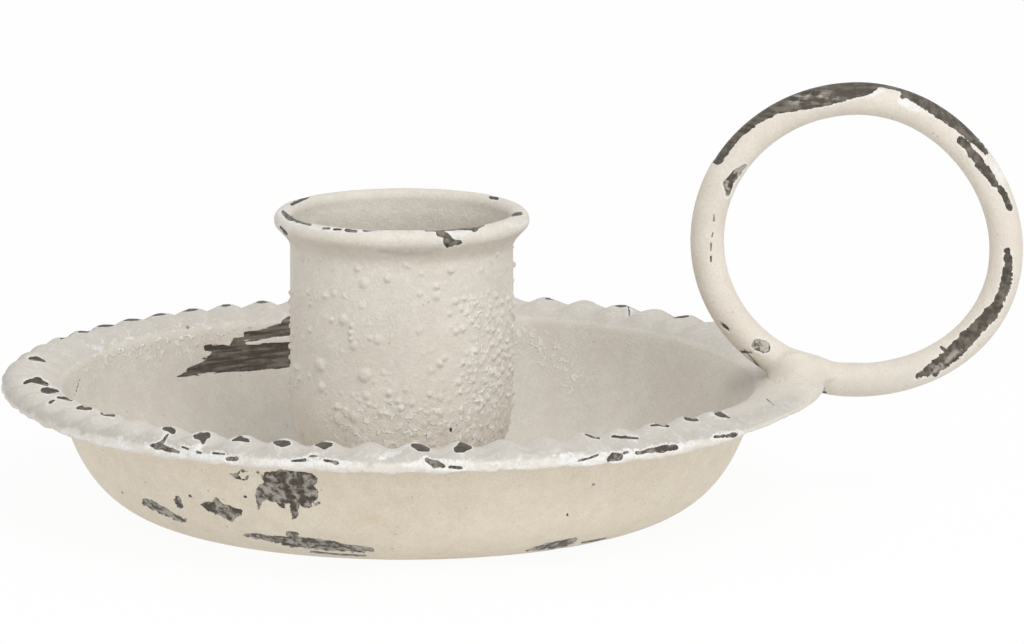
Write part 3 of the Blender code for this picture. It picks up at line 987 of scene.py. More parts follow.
def make_weld(material):
    """The blend as a ball of points, each moved out by halving until it meets the surface."""
    mesh = bpy.data.meshes.new("handle_weld_blend")
    shape = bmesh.new()
    bmesh.ops.create_icosphere(shape, subdivisions=WELD_SUBDIVISIONS, radius=1.0)
    shape.to_mesh(mesh)
    shape.free()
    ways = np.array([v.co for v in mesh.vertices])
    ways /= np.linalg.norm(ways, axis=1, keepdims=True)
    middle_x = RIM_RADIUS - WELD_SET_IN
    share = (RING_CENTRE.x / MM - AXIS.x / MM - middle_x) / RING_HALF_WIDTH
    middle = np.array((middle_x, 0.0, RING_CENTRE.z / MM - RING_HALF_HEIGHT * math.sqrt(1 - share * share)))
    low = np.zeros(len(ways))
    high = np.full(len(ways), WELD_REACH)
    for _ in range(WELD_HALVINGS):
        half = (low + high) / 2
        inside = weld_field(middle + ways * half[:, None]) < 0
        low = np.where(inside, half, low)
        high = np.where(inside, high, half)
    places = (middle + ways * low[:, None]) * MM + np.array(AXIS)
    mesh.vertices.foreach_set("co", places.astype(np.float32).ravel())
    mesh.materials.append(material)
    close_mesh(mesh)
    mesh.shade_smooth()
    return add_object(mesh.name, mesh)


weld = make_weld(painted_steel("weld_paint"))

# %% [markdown]
# ## Rivet and washer
# A rivet through the middle of the cup and the saucer holds them together, and below the saucer it is
# set over a washer. Both are small turned pieces with their edges rounded off. The rivet was painted with
# the cup, and the washer is bare steel. The rivet's outline starts and ends on the axis, so it is an open
# line, and its ends close to a point when the doubled points are merged.

# %% Rivet and washer
rivet_low, rivet_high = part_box("cup_rivet")
washer_low, washer_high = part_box("rivet_washer")
SHANK_RADIUS = 2.0
HEAD_RADIUS = (rivet_high.x - rivet_low.x) / 2 / MM
HEAD_HEIGHT = 1.4
SET_RADIUS = 3.2
SET_HEIGHT = 1.2
HEAD_EDGE = 0.25
SET_EDGE = (0.2, 0.3)
DOME_RADIUS = 2.4
SET_DOME = (2.0, 0.1)
WASHER_EDGE = 0.2
RIVET_STEPS = 96


def rivet_outline():
    """Down from the middle of the head to the middle of the set end."""
    top = rivet_high.z / MM
    foot = rivet_low.z / MM
    head_seat = top - HEAD_HEIGHT
    set_seat = foot + SET_HEIGHT
    line = [np.array((0.0, top))]
    line += curve([line[-1], (DOME_RADIUS, top), (HEAD_RADIUS, top),
                   (HEAD_RADIUS, head_seat + HEAD_EDGE)], 14)
    line += curve([line[-1], (HEAD_RADIUS, head_seat), (HEAD_RADIUS - HEAD_EDGE, head_seat)], 3)
    line += curve([line[-1], (SHANK_RADIUS, head_seat)], 2)
    line += curve([line[-1], (SHANK_RADIUS, set_seat)], 4)
    line += curve([line[-1], (SET_RADIUS - SET_EDGE[0], set_seat)], 2)
    line += curve([line[-1], (SET_RADIUS, set_seat), (SET_RADIUS, set_seat - SET_EDGE[1])], 3)
    line += curve([line[-1], (SET_RADIUS, foot + SET_DOME[1]), (SET_DOME[0], foot), (0.0, foot)], 12)
    return line


def washer_outline():
    """Round the washer's section: outer edge, underside, hole and top."""
    outer = (washer_high.x - washer_low.x) / 2 / MM - WASHER_EDGE
    inner = CUP_HOLE_RADIUS + WASHER_EDGE
    top = washer_high.z / MM - WASHER_EDGE
    foot = washer_low.z / MM + WASHER_EDGE
    line = []
    for turn, corner in enumerate(((outer, top), (outer, foot), (inner, foot), (inner, top))):
        start = 90 - 90 * turn
        line += arc(corner, WASHER_EDGE, start, start - 90, 4)
    return line


rivet_values = {"Steps": RIVET_STEPS, "Place": CUP_AXIS, "Uneven": 0.0}
rivet = grow(outline_object("cup_rivet_set", rivet_outline(), closed=False), turned_piece,
             {**rivet_values, "Finish": painted_steel("rivet_paint")})
washer = grow(outline_object("rivet_washer_pressed", washer_outline()), turned_piece,
              {**rivet_values, "Finish": painted_steel("washer_steel")})

# %% [markdown]
# ## Where the paint is worn
# Hands, cloths and tables have taken the paint off the bumps, the edges, the ring and the round of the
# pan. Each patch is a stroke: a few places in the picture, in pixels across and down, each with the
# stroke's width there. Every point of a mesh knows where it lands in the picture, so its distance to a
# stroke is easily found, and it is stored on the mesh in millimetres. A zone keeps a stroke on one face of
# the sheet, and a cost for turning away lets a patch end where it goes round an edge. The stored numbers
# belong to the surface, so the patches stay in place when it is seen from another side. Where the paint is
# gone, the surface is also sunk by the paint's thickness.

# %% Strokes on a surface
FAR_FROM_WEAR = 20.0
WRAP_START = 0.1
WRAP_COST = 3.0
RAG_SHARE = 0.5
DEEPEST_FLECKS = -0.32
SINK_WIDTH = 0.4


class Wear:
    """The state of the paint on one piece, as numbers at the points of its mesh."""

    def __init__(self, obj):
        self.obj = obj
        self.places, self.normals = mesh_points(obj)
        from_axis = (self.places - np.array(AXIS)) / MM
        self.radius = np.hypot(from_axis[:, 0], from_axis[:, 1])
        self.angle = np.arctan2(from_axis[:, 1], from_axis[:, 0])
        self.height = from_axis[:, 2]
        self.outward = (self.normals[:, :2] * from_axis[:, :2]).sum(axis=1) / np.maximum(self.radius, 1e-6)
        self.everywhere = np.full(len(self.places), True)
        self.values = {label: np.zeros(len(self.places)) for label in PAINT_STATE}
        self.values["bare"] += FAR_FROM_WEAR
        self.values["chalk"] += FAR_FROM_WEAR

    def reach(self, stroke, zone, degrees=0.0):
        """Millimetres from each point of a zone to a stroke that is turned about the dish axis."""
        turn = np.array(Matrix.Rotation(math.radians(-degrees), 3, "Z"))
        places = (self.places[zone] - np.array(AXIS)) @ turn.T + np.array(AXIS)
        facing = (self.normals[zone] @ turn.T) @ np.array(to_camera)
        hidden = np.clip(-facing - WRAP_START, 0.0, None) * WRAP_COST
        points = np.array([*stroke, stroke[-1]], float)
        pixels = line_distance(in_photo(places), points[:, :2], points[:, 2])
        distance = np.full(len(self.places), FAR_FROM_WEAR)
        distance[zone] = pixels * MM_PER_PIXEL + hidden
        return distance

    def strip(self, distance, rag, halo, brush=0.0, pale=0.0):
        """Takes the paint off where a distance is below zero, with a white edge of primer round it."""
        nearer = distance < self.values["bare"]
        for label, value in (("bare", distance), ("rag", rag), ("brush", brush), ("pale", pale)):
            self.values[label] = np.where(nearer, value, self.values[label])
        self.whiten(distance - halo)

    def whiten(self, distance):
        """Takes the paint off in flecks, down to the white primer, where a distance is below zero."""
        self.values["chalk"] = np.minimum(self.values["chalk"], np.maximum(distance, DEEPEST_FLECKS))

    def tint(self, label, stroke, zone, strength, soft=1.0):
        """Raises one of the numbers along a stroke, fading over a soft width in millimetres."""
        share = np.clip(0.5 - self.reach(stroke, zone) / soft, 0.0, 1.0)
        self.values[label] = np.maximum(self.values[label], strength * share)

    def strip_strokes(self, strokes, zone, turns=(0.0,), rag=0.9, **look):
        """Strips named strokes and repeats them round the dish axis. Thin strokes are less ragged."""
        for stroke in strokes.values():
            breadth = max(width for across, down, width in stroke) * MM_PER_PIXEL
            for degrees in turns:
                self.strip(self.reach(stroke, zone, degrees), min(rag, RAG_SHARE * breadth), **look)

    def whiten_strokes(self, strokes, zone, turns=(0.0,)):
        for stroke in strokes.values():
            for degrees in turns:
                self.whiten(self.reach(stroke, zone, degrees))

    def store(self):
        """Sinks the bare patches by the paint's thickness and keeps the numbers on the mesh."""
        sink = np.clip(0.5 - self.values["bare"] / SINK_WIDTH, 0.0, 1.0) * FILM_THICKNESS * MM
        places = self.places - self.normals * sink[:, None]
        self.obj.data.vertices.foreach_set("co", places.astype(np.float32).ravel())
        for label, value in self.values.items():
            attribute = self.obj.data.attributes.new(label, "FLOAT", "POINT")
            attribute.data.foreach_set("value", value.astype(np.float32))
        self.obj.data.update()
        print(self.obj.name, "is bare at", int((self.values["bare"] < 0).sum()), "of its points")


print("each point of a mesh carries", len(PAINT_STATE), "numbers")

# %% [markdown]
# ### Wear of the saucer
# Most of the bumps are rubbed through on top, the turned-down edge is rubbed white and chipped, the round
# of the pan is scuffed where it was dragged, and a broad brushed patch lies on the inner wall behind the
# cup. The dabs in front are strokes like the rest. At the back a bump is only a few pixels high, so those
# dabs are given by their place across, and the top of the nearest bump is looked up. Shade is painted on
# the rim's top, most on its outer slope before the edge, and in a corner of the pan by the weld. The edge
# and the round of the pan are worn alike on the side that the picture doesn't show.

# %% Bumps worn through: across, down and width in pixels
FRONT_DABS = {
    "left 1": [(30, 358, 3), (36, 358, 5), (45, 361, 2)],
    "left 2": [(24, 383, 2), (31, 380, 4), (38, 380, 7), (47, 384, 3)],
    "left 3": [(43, 390, 5), (48, 390, 7), (58, 391, 2)],
    "left 4": [(58, 397, 2), (66, 398, 3), (72, 400, 2)],
    "left 4, foot": [(50, 402, 3), (54, 400, 2)],
    "left 5": [(77, 408, 2), (84, 407, 5), (91, 408, 3)],
    "left 6": [(103, 413, 4), (108, 413, 6), (114, 415, 3)],
    "front 1": [(164, 428, 3), (170, 429, 6), (173, 431, 6)],
    "front 2": [(196, 436, 5), (202, 436, 9), (208, 435, 6)],
    "front 2, foot": [(203, 438, 8), (203, 442, 4)],
    "front 3": [(233, 440, 2), (240, 438, 5), (248, 440, 4)],
    "front 4": [(275, 442, 4), (282, 443, 8), (289, 443, 4)],
    "front 5": [(317, 444, 4), (324, 445, 8), (331, 444, 4)],
    "below the cup 1": [(413, 445, 4), (420, 447, 8), (428, 449, 5)],
    "below the cup 2": [(457, 449, 7), (462, 447, 11), (470, 447, 4)],
    "right 1": [(586, 434, 2), (592, 436, 3), (599, 438, 2)],
    "right 2": [(612, 436, 2), (624, 437, 3), (638, 438, 2)],
    "right 3": [(651, 425, 2), (658, 424, 3), (668, 426, 2)],
    "right 4": [(685, 418, 3), (692, 419, 4), (698, 420, 2)],
    "right 5": [(716, 413, 4), (720, 414, 5), (729, 417, 2)],
}
BACK_DABS = [
    (58, 6, 3), (78, 8, 4), (102, 8, 4), (128, 8, 4), (157, 8, 4), (192, 8, 5), (222, 5, 4), (264, 7, 4),
    (318, 7, 4), (375, 6, 3), (430, 8, 4), (488, 6, 3), (560, 5, 3), (630, 5, 4), (690, 7, 4),
]
CREST_WINDOW = 9
CREST_STEP = 4
CREST_SEARCH = 3
DAB_END = 2


def crest_stroke(pixels, across, half_length, width):
    """A stroke along the top of the bump that is nearest to a place across the picture."""

    def top(column):
        return pixels[np.abs(pixels[:, 0] - column) < CREST_STEP, 1].min() + 1.0

    crest = min(range(across - CREST_WINDOW, across + CREST_WINDOW + 1, CREST_SEARCH), key=top)
    ends = ((-half_length, DAB_END), (0, width), (half_length, DAB_END))
    return [(crest + side, top(crest + side), breadth) for side, breadth in ends]


print(len(FRONT_DABS), "worn places in front and", len(BACK_DABS), "at the back")

# %% Saucer strokes: across, down and width in pixels
LIP_CHIPS = {
    "left chip": [(150, 445, 2), (158, 446, 7), (168, 449, 5), (178, 452, 3)],
    "left vein": [(168, 434, 2), (164, 440, 3), (160, 444, 4)],
    "left scratch": [(182, 447, 2), (188, 449, 2)],
    "left nick": [(197, 452, 3), (201, 453, 2)],
    "left dash": [(213, 453, 2), (224, 454, 2)],
    "left spot": [(228, 459, 4), (236, 459, 4)],
    "middle dash": [(292, 461, 2), (305, 460, 3)],
    "middle nick": [(310, 456, 2), (317, 456, 2)],
    "middle chip": [(324, 460, 2), (331, 461, 2), (336, 463, 5)],
    "chip below the cup": [(427, 460, 4), (435, 464, 8), (443, 466, 4)],
    "chip beside it": [(450, 467, 3), (461, 468, 3)],
    "right line": [(578, 461, 2), (590, 458, 2), (598, 455, 2)],
    "square chip": [(609, 459, 5), (614, 457, 9), (620, 457, 8)],
    "right nick": [(624, 453, 2), (628, 452, 2)],
    "right scratch": [(637, 453, 3), (650, 451, 4), (662, 449, 7), (675, 447, 6)],
    "far right chip": [(715, 437, 2), (724, 436, 3)],
    "last chip": [(728, 436, 4), (732, 435, 5), (737, 434, 3)],
}
LIP_WHITES = {
    "left smear": [(146, 446, 5), (185, 454, 7), (215, 457, 6), (240, 460, 7)],
    "vein of the first dab": [(168, 434, 3), (163, 441, 4), (156, 446, 6)],
    "below the second dab": [(203, 443, 5), (196, 449, 8), (185, 452, 6)],
    "spots": [(262, 462, 6), (278, 463, 7), (296, 462, 9)],
    "middle smear": [(306, 462, 9), (325, 462, 7), (345, 464, 8), (362, 466, 5)],
    "fan": [(378, 459, 3), (390, 454, 8), (400, 449, 6), (406, 446, 2)],
    "below the cup": [(405, 464, 5), (425, 463, 9), (450, 465, 11), (470, 464, 9)],
    "thin line": [(480, 464, 3), (520, 463, 2), (570, 461, 3)],
    "right smear": [(575, 460, 6), (600, 457, 8), (640, 453, 8), (682, 446, 7), (700, 443, 3)],
    "far right": [(712, 438, 6), (728, 436, 9), (741, 433, 7)],
}
WHITE_DOTS = {
    "lumps on the left": [(60, 432, 4), (75, 437, 6), (100, 443, 4), (130, 449, 4)],
    "dot on a bump": [(511, 447, 4)],
    "dot at the right": [(712, 414, 5)],
    "dot at the left": [(38, 369, 5)],
    "dot at the back": [(115, 341, 6)],
    "dash at the back": [(94, 347, 5), (101, 350, 5)],
}
WALL_SCUFFS = {
    "blotch, top": [(268, 478, 12), (292, 475, 12), (312, 480, 11)],
    "blotch, middle": [(263, 492, 16), (288, 490, 28), (308, 494, 20)],
    "blotch, drip": [(294, 500, 9), (294, 516, 7)],
    "blotch, left drip": [(258, 495, 6), (259, 509, 3)],
    "blotch, inner drip": [(279, 502, 7), (284, 508, 3)],
    "blotch, right foot": [(304, 503, 8), (310, 506, 4)],
    "blotch, right spot": [(316, 505, 4), (319, 503, 3)],
    "small blotch": [(203, 505, 5), (215, 508, 11), (228, 513, 13), (239, 513, 7)],
    "small blotch, top": [(216, 499, 5), (218, 505, 7)],
    "small blotch, foot": [(232, 519, 5)],
    "spot": [(177, 499, 6), (180, 506, 6)],
    "first speck": [(190, 497, 4)],
    "second speck": [(201, 495, 3)],
    "third speck": [(245, 498, 4)],
    "dot": [(122, 493, 3)],
    "stem": [(226, 472, 3), (232, 474, 2)],
    "loop": [(235, 477, 3), (244, 479, 3), (258, 473, 3), (257, 470, 3), (244, 470, 3), (235, 475, 3)],
    "left streak": [(145, 502, 7), (153, 506, 8), (165, 512, 7), (175, 517, 5), (185, 521, 3)],
    "low streak": [(246, 535, 3), (262, 537, 5), (278, 540, 6), (294, 542, 11), (312, 544, 11),
                   (328, 546, 10)],
    "low streak, tail": [(328, 546, 10), (345, 548, 7), (371, 550, 5)],
    "low blob": [(288, 534, 5), (296, 535, 5)],
    "low line": [(311, 552, 2), (340, 555, 2), (365, 556, 2)],
    "right streak": [(527, 551, 2), (545, 547, 5), (560, 545, 8), (575, 540, 4)],
    "right streak, tail": [(582, 543, 2), (606, 539, 2)],
    "pit": [(568, 515, 3)],
    "mark": [(593, 485, 2), (597, 482, 3)],
}
PAN_STREAKS = {
    "upper streak": [(235, 340, 6), (250, 336, 10), (289, 329, 14), (300, 327, 14)],
    "upper corner": [(284, 322, 6), (290, 320, 7), (300, 320, 7)],
    "lower streak, top": [(205, 348, 4), (220, 351, 10), (300, 349, 13)],
    "lower streak": [(190, 372, 8), (215, 364, 16), (250, 361, 19), (300, 357, 18)],
    "point": [(178, 377, 2), (192, 373, 6)],
}
LUMPY_PAINT = {
    "back left wall": [(80, 376, 14), (96, 354, 24), (130, 347, 28), (190, 338, 26), (255, 328, 16)],
    "beside the cup": [(523, 340, 18), (552, 352, 16), (574, 383, 16)],
}
STAIN_LINE = [(348, 513, 3), (366, 517, 5), (386, 524, 3)]
SHADED_CORNER = [(734, 385, 6), (750, 379, 12), (763, 377, 10)]
WARM_CORNER = [(750, 405, 14), (775, 395, 30), (815, 385, 30)]
RIM_SCRATCHES = {
    "hairline beside the weld": [(766, 398, 1), (774, 405, 1)],
    "hairline on the left wall": [(82, 375, 1.2), (75, 395, 1.2)],
    "dot at the back": [(188, 327, 3)],
}
print(len(LIP_CHIPS), "chips on the edge and", len(WALL_SCUFFS), "scuffs on the round of the pan")

# %% Saucer wear
RIM_INNER_RADIUS = 62.0
RIM_SIDE_RADIUS = 69.5
OUTER_WALL_RADII = (38.0, 64.5)
OUTER_WALL_TOP = 23.0
INNER_WALL_RADIUS = 40.0
INNER_WALL_TOP = 23.5
UNDERSIDE_RADIUS = 66.0
LEAST_UPWARD = 0.15
LEAST_SIDEWAYS = 0.2
MOST_DOWNWARD = 0.1
WALL_LEAN = 0.05
LIP_TOP = 24.3
LIP_INNER_RADIUS = 71.2
LIP_SLOPE = 0.6
LIP_LEAST = 1.05
HANDLE_CLEAR = 1.6
HANDLE_SPREAD = 0.6
# Painted shade on the rim: where it is deepest, how wide, from what height, its share on that slope and on
# the rest of the rim, and how far from the handle it fades.
PAINTED_SHADE_RADIUS = 71.9
PAINTED_SHADE_HALF_WIDTH = 3.0
PAINTED_SHADE_FOOT = 22.9
SLOPE_SHADE_SHARE = 0.8
RIM_SHADE_SHARE = 0.36
PAINTED_SHADE_ANGLE = 0.2
LIP_PATCHES = ((7.0, 1.0, 0.45), (17.0, 0.0, 0.3), (31.0, 2.0, 0.2))


def lip_rub(wear):
    """Millimetres to the rubbed white edge, which comes and goes round the rim."""
    depth = np.maximum(LIP_INNER_RADIUS - wear.radius, wear.height - LIP_TOP)
    patchy = sum(size * np.sin(wear.angle * waves + start) for waves, start, size in LIP_PATCHES)
    near_handle = np.clip(HANDLE_CLEAR - np.abs(wear.angle) / HANDLE_SPREAD, 0.0, 1.0)
    rubbed = depth * LIP_SLOPE + LIP_LEAST + patchy + near_handle
    return np.where(wear.outward > 0.0, rubbed, FAR_FROM_WEAR)


def wear_saucer(piece):
    """The paint of the saucer: zones of the sheet, and the strokes in each."""
    wear = Wear(piece)
    upward = wear.normals[:, 2]
    upper = (wear.radius > RIM_INNER_RADIUS) & (upward > LEAST_UPWARD)
    on_rim = upper | ((wear.radius > RIM_SIDE_RADIUS) & (wear.outward > LEAST_SIDEWAYS))
    on_outer_wall = (wear.outward > WALL_LEAN) & (wear.height < OUTER_WALL_TOP)
    on_outer_wall &= (wear.radius > OUTER_WALL_RADII[0]) & (wear.radius < OUTER_WALL_RADII[1])
    on_inner_wall = (wear.outward < -WALL_LEAN) & (wear.height < INNER_WALL_TOP)
    on_inner_wall &= wear.radius > INNER_WALL_RADIUS
    below = (upward < MOST_DOWNWARD) & (wear.radius < UNDERSIDE_RADIUS) & (wear.outward > -WALL_LEAN)
    wear.values["warm"][below] = 1.0
    pixels = in_photo(wear.places[on_rim])
    back_dabs = {place: crest_stroke(pixels, *place) for place in BACK_DABS}
    wear.strip_strokes(FRONT_DABS, on_rim, rag=0.3, halo=0.25)
    wear.strip_strokes(back_dabs, on_rim, rag=0.2, halo=0.0)
    wear.whiten(lip_rub(wear))
    wear.whiten_strokes(LIP_WHITES, on_rim, (0.0, 180.0))
    wear.whiten_strokes(WHITE_DOTS, on_rim | on_inner_wall)
    wear.strip_strokes(LIP_CHIPS, on_rim, (0.0, 180.0), rag=0.5, halo=0.4, pale=0.5)
    wear.strip_strokes(WALL_SCUFFS, on_outer_wall, (0.0, 180.0), rag=0.8, halo=0.05, brush=0.15, pale=0.9)
    wear.strip_strokes(PAN_STREAKS, on_inner_wall, rag=1.3, halo=0.1, brush=0.75, pale=0.25)
    wear.strip_strokes(RIM_SCRATCHES, upper | on_inner_wall, rag=0.1, halo=0.0, pale=3.0)
    # Lumps of paint: a real bump, and also painted lighter as a painted highlight.
    for zone, lumps in ((on_inner_wall, 0.12), (on_outer_wall, 0.1), (on_rim, 0.2)):
        wear.values["lumps"][zone] = lumps
    for stroke in LUMPY_PAINT.values():
        wear.tint("lumps", stroke, upper | on_inner_wall, 1.0, soft=4.5)
    # Painted shade: the rim's top is painted darker, most on the outer slope before the edge, less by the
    # handle.
    slope = 1.0 - np.abs(wear.radius - PAINTED_SHADE_RADIUS) / PAINTED_SHADE_HALF_WIDTH
    soil = RIM_SHADE_SHARE + (SLOPE_SHADE_SHARE - RIM_SHADE_SHARE) * smooth_step(slope)
    soil *= smooth_step(np.abs(wear.angle) / PAINTED_SHADE_ANGLE - 1.0)
    wear.values["soil"] = np.where(upper & (wear.height > PAINTED_SHADE_FOOT), soil, 0.0)
    # Painted shade in the corner of the pan beside the weld.
    wear.tint("soil", SHADED_CORNER, on_inner_wall, 1.3, soft=4.0)
    wear.tint("stain", STAIN_LINE, on_outer_wall, 0.9)
    wear.tint("warm", WARM_CORNER, on_rim, 0.3, soft=6.0)
    return wear


# %% [markdown]
# A distance that is stored at points is only as sharp as the mesh, and the chips on the edge are smaller
# than the saucer's faces. The whole mesh could be finer, but the chips cover little of it, so only the
# edges near the end of the paint are split, and then split again. That leaves faces with odd corners along
# the border, so at last every face is cut into well-shaped triangles.

# %% A finer mesh where the paint ends
FINER_NEAR = (0.6, 0.25)


def refine(obj, find_wear):
    """Splits the edges near the end of the paint, then cuts every face into well-shaped triangles."""
    for limit in FINER_NEAR:
        near = np.abs(find_wear(obj).values["bare"]) < limit
        shape = bmesh.new()
        shape.from_mesh(obj.data)
        edges = [edge for edge in shape.edges if all(near[corner.index] for corner in edge.verts)]
        bmesh.ops.subdivide_edges(shape, edges=edges, cuts=1, use_grid_fill=True)
        if limit == FINER_NEAR[-1]:
            bmesh.ops.triangulate(shape, faces=shape.faces, quad_method="BEAUTY", ngon_method="BEAUTY")
        shape.to_mesh(obj.data)
        shape.free()
    print(obj.name, "is split to", len(obj.data.polygons), "triangles")


refine(saucer, wear_saucer)
wear_saucer(saucer).store()

# %% [markdown]
# ### Wear of the cup and the ring
# The cup's lip is chipped along its inner edge and at one spot on the front. The ring is worn on its crown
# and on its outer right side, where it was hung and held. The weld lies under the same strokes as the ring.

# %% Cup and ring strokes
CUP_CHIPS = {
    "edge beside the chip": [(426, 230, 2), (443, 229, 3), (460, 228, 4), (474, 227, 5), (483, 225, 2)],
    "front chip, top": [(440, 233, 7), (446, 235, 6)],
    "front chip": [(448, 238, 7), (448, 243, 9), (460, 243, 5)],
    "edge spot": [(475, 229, 6)],
    "left edge": [(283, 212, 3), (288, 217, 5), (297, 220, 4), (310, 224, 3)],
    "first dash": [(323, 228, 2), (329, 228, 2)],
    "second dash": [(334, 229, 2), (341, 229, 2)],
    "third dash": [(346, 230, 3), (356, 231, 3)],
    "fourth dash": [(364, 230, 3), (376, 229, 3)],
    "right edge": [(512, 215, 3), (521, 213, 4)],
    "left side": [(280, 227, 2), (286, 234, 3)],
}
CUP_WHITES = {
    "beside the chip": [(450, 233, 5), (458, 235, 5), (468, 231, 5)],
    "left edge": [(277, 208, 5), (282, 214, 8), (294, 221, 7), (314, 227, 4)],
    "inner edge": [(316, 228, 3), (345, 231, 4), (380, 230, 3), (425, 231, 2)],
    "right end": [(505, 224, 2), (522, 227, 5), (526, 222, 4)],
    "back corner": [(517, 204, 4), (524, 210, 4)],
}
CUP_BACK_CHIPS = {
    "back edge, right": [(490, 197, 3), (497, 198, 3)],
    "back edge, left": [(292, 204, 3), (300, 200, 3), (308, 197, 2)],
}
CUP_MARKS = {
    "left pinhole": [(426, 435, 3.5)],
    "right pinhole": [(451, 430, 4)],
}
RING_CROWN = {
    "crown, left": [(718, 158, 12), (724, 148, 13), (735, 134, 13), (751, 118, 17)],
    "crown": [(751, 118, 17), (775, 103, 22), (800, 95, 30), (825, 91, 30), (845, 88, 25), (866, 86, 17)],
    "crown, tail": [(866, 86, 17), (880, 84, 6), (906, 88, 8)],
}
RING_SCUFFS = {
    "shoulder": [(906, 92, 10), (925, 100, 16), (943, 111, 17), (960, 124, 15), (974, 138, 10),
                 (986, 152, 4)],
    "shoulder, nub": [(903, 96, 5)],
    "inner branch": [(961, 140, 7), (969, 149, 8), (979, 162, 9), (989, 175, 9), (996, 184, 7)],
    "branch, tail": [(999, 187, 5), (1005, 196, 6), (1010, 208, 6)],
    "lower right, top": [(1007, 251, 6), (1008, 268, 9), (1006, 285, 11), (999, 302, 11)],
    "lower right": [(999, 302, 11), (990, 315, 14), (976, 329, 15), (957, 350, 16), (940, 364, 14)],
    "lower right, tail": [(940, 364, 14), (927, 372, 9), (916, 377, 4)],
    "lower right, nub": [(941, 347, 3), (947, 352, 6)],
    "lower right, foot": [(936, 371, 10)],
}
RING_MARKS = {
    "first dash": [(714, 215, 1), (714, 221, 2)],
    "second dash": [(713, 233, 1), (712, 237, 1)],
    "third dash": [(711, 244, 2), (711, 251, 1)],
    "fourth dash": [(711, 257, 2), (711, 262, 1)],
    "crevice": [(744, 350, 1), (752, 359, 1.5), (761, 370, 2), (765, 377, 4)],
}
RING_NICKS = {
    "nick": [(720, 323, 2), (724, 326, 3.5), (729, 330, 2)],
    "crack": [(740, 352, 2), (752, 353, 2)],
    "notch": [(821, 393, 3), (825, 393, 3)],
}
RING_WHITES = {
    "end of the crown": [(868, 96, 5), (876, 91, 7), (884, 90, 5)],
    "shoulder": [(899, 101, 7), (915, 106, 12), (932, 112, 8), (940, 117, 4)],
    "branch": [(984, 146, 4), (992, 160, 8), (1000, 173, 8), (1003, 182, 5)],
    "beside the crack": [(746, 355, 3), (752, 356, 2)],
}
RING_SCRAPES = {
    "crown": [(792, 100, 8), (812, 97, 14), (832, 98, 12)],
    "lower right": [(960, 350, 5), (935, 370, 10)],
}
# Painted shade: on the ring's low bar, in the crevice by the weld and under the cup's bead.
RING_LOW_SHADE = [(830, 382, 20), (870, 384, 24), (920, 372, 20)]
CREVICE_SHADE = [(752, 360, 2), (760, 370, 3), (765, 376, 5)]
SHADE_BELOW_LIP = [(380, 251, 2), (395, 253, 3), (412, 254, 3), (432, 253, 2)]
GREY_SPOTS = {
    "spot by the weld": [(758, 345, 12), (764, 347, 13)],
    "inner left": [(728, 184, 9), (736, 174, 8), (745, 166, 3)],
    "inner left, foot": [(729, 186, 9), (728, 195, 4)],
}
RASH = {
    "right side": [(475, 300, 20), (492, 340, 40), (485, 390, 60)],
    "low down": [(345, 425, 40), (420, 430, 50), (485, 430, 60)],
}
print(len(CUP_CHIPS), "chips on the cup's lip and", len(RING_CROWN) + len(RING_SCUFFS), "scuffs on the ring")

# %% Cup and ring wear
BEAD_REACH = 1.8
cup_wear = Wear(cup)
on_bead = cup_wear.height > BEAD_CENTRE[1] - BEAD_REACH
front = cup_wear.places[:, 1] < 0.0
cup_wear.whiten_strokes(CUP_WHITES, on_bead & front)
cup_wear.strip_strokes(CUP_CHIPS, on_bead & front, rag=0.5, halo=0.2, pale=0.4)
cup_wear.strip_strokes(CUP_BACK_CHIPS, on_bead & ~front, rag=0.3, halo=0.1)
cup_wear.strip_strokes(CUP_MARKS, ~on_bead & front, rag=0.1, halo=0.0)
cup_wear.values["warm"] += 0.1
# Painted shade under the cup's bead.
cup_wear.tint("soil", SHADE_BELOW_LIP, front, 0.7, soft=0.8)
# Lumps and blisters of paint: a real bump, and also painted lighter as a painted highlight.
cup_wear.values["lumps"] += 0.15
for stroke in RASH.values():
    cup_wear.tint("lumps", stroke, ~on_bead, 0.8, soft=4.0)
cup_wear.store()


def wear_ring(piece):
    """The paint of the ring or of the weld below it."""
    wear = Wear(piece)
    zone = wear.everywhere
    wear.strip_strokes(RING_CROWN, zone, rag=0.9, halo=0.2, brush=0.5, pale=0.2)
    wear.strip_strokes(RING_SCUFFS, zone, rag=0.9, halo=0.2, brush=0.1, pale=0.2)
    wear.strip_strokes(RING_MARKS, zone, rag=0.15, halo=0.05, pale=0.7)
    wear.strip_strokes(RING_NICKS, zone, rag=0.15, halo=0.1)
    wear.strip_strokes(GREY_SPOTS, zone, rag=0.4, halo=0.35, pale=1.5)
    for stroke in RING_SCRAPES.values():
        wear.tint("pale", stroke, zone, 1.0, soft=1.5)
    wear.whiten_strokes(RING_WHITES, zone)
    wear.values["warm"] += 0.3
    # Painted shade in the crevice by the weld and on the ring's low bar.
    wear.tint("soil", CREVICE_SHADE, zone, 0.8)
    wear.tint("soil", RING_LOW_SHADE, zone, 0.3, soft=4.0)
    return wear


refine(ring, wear_ring)
for piece in (ring, weld):
    wear_ring(piece).store()

# %% Rivet and washer wear
rivet_wear = Wear(rivet)
rivet_wear.values["warm"] += 0.2
rivet_wear.store()
washer_wear = Wear(washer)
washer_wear.values["bare"][:] = -1.0
washer_wear.values["pale"][:] = 0.6
washer_wear.store()

# %% [markdown]
# ## Floor and light
# The scene is a plain pale studio: a wide table, a soft lamp high on the right, two weak ones low on both
# sides and even light from all round. The table glows a little, as a white one in bright light does, so
# that the underside of the rim isn't dark. To the camera the table and the sky are white, as the picture's
# background is, while the object still gets ordinary light and a faint shadow. The Light Path node makes
# that difference.

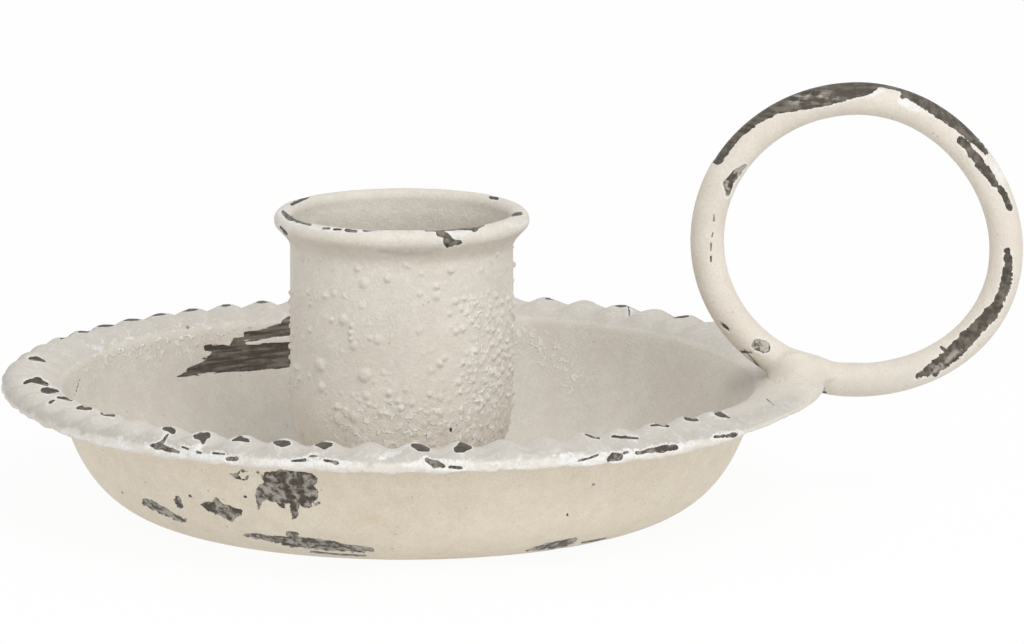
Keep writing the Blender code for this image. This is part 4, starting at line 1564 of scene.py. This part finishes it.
# %% Floor
FLOOR_HALF = 6.0
FLOOR_ALBEDO = (0.90, 0.895, 0.885, 1.0)
FLOOR_GLOW = 0.94
TABLE_GLOW = 0.4
WHITE = (1.0, 1.0, 1.0, 1.0)


def seen_directly(start):
    """One for a ray from the camera or one that is mirrored or bent on its way, and zero for other light."""
    total = start.node("ShaderNodeLightPath", out="Is Camera Ray")
    for label in ("Is Glossy Ray", "Is Transmission Ray"):
        total = total.maths("MAXIMUM", total, start.node("ShaderNodeLightPath", out=label))
    return total


def floor_finish():
    """A matt pale floor that looks white to the camera and glows a little for other light."""
    material, start = new_material("pale_floor")
    matt = start.node("ShaderNodeBsdfDiffuse", None, {"Color": FLOOR_ALBEDO}, "BSDF")
    glow = start.node("ShaderNodeEmission", None, {"Color": WHITE, "Strength": 1.0})
    share = start.maths("MAXIMUM", seen_directly(start) * FLOOR_GLOW, TABLE_GLOW)
    mixed = start.node("ShaderNodeMixShader", None, {"Fac": share, "Shader": matt, "Shader_001": glow})
    start.node("ShaderNodeOutputMaterial", None, {"Surface": mixed})
    return material


floor_mesh = bpy.data.meshes.new("floor")
corners = [(x * FLOOR_HALF, y * FLOOR_HALF, 0.0) for x, y in ((-1, -1), (1, -1), (1, 1), (-1, 1))]
floor_mesh.from_pydata(corners, [], [(0, 1, 2, 3)])
floor_mesh.materials.append(floor_finish())
floor = add_object("floor", floor_mesh)
print("floor", 2 * FLOOR_HALF, "m square")

# %% Light
SKY_STRENGTH = 0.76

# Each lamp has a place in metres, a size and a power.
LAMPS = {
    "key": ((0.42, -1.0, 1.12), 0.8, 9.5),
    "left fill": ((-0.75, -1.1, 0.1), 0.6, 1.6),
    "right fill": ((1.0, -0.85, 0.15), 0.6, 1.6),
}

world = bpy.data.worlds.new("studio")
world.use_nodes = True
world.node_tree.nodes.clear()
sky = Wire(world.node_tree)
brightness = SKY_STRENGTH + seen_directly(sky) * (1.0 - SKY_STRENGTH)
background = sky.node("ShaderNodeBackground", None, {"Color": WHITE, "Strength": brightness})
sky.node("ShaderNodeOutputWorld", None, {"Surface": background})
bpy.context.scene.world = world


def add_lamp(name, place, size, power):
    """A round soft lamp that looks at the object."""
    lamp = bpy.data.lights.new(name, "AREA")
    lamp.shape = "DISK"
    lamp.size = size
    lamp.energy = power
    from_object = Vector(place) - VIEW_TARGET
    obj = add_object(name, lamp)
    obj.location = place
    obj.rotation_euler = from_object.to_track_quat("Z", "Y").to_euler()
    print(name, "lamp", round(from_object.length, 2), "m away")


for lamp_name, look in LAMPS.items():
    add_lamp(lamp_name, *look)
bpy.context.scene.view_settings.view_transform = "Standard"

# %% [markdown]
# ## Joining the fixed model
# Every new piece rides on the model's one body and takes the place of the solid it dresses.

# %% Hand the pieces over
for piece, node, slot in (
    (saucer, "saucer", "saucer_paint"),
    (cup, "candle_cup", "cup_paint"),
    (ring, "ring_handle", "handle_paint"),
    (weld, "handle_weld", "weld_paint"),
    (rivet, "cup_rivet", "rivet_paint"),
    (washer, "rivet_washer", "washer_steel"),
):
    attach(piece, "root")
    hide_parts(node)
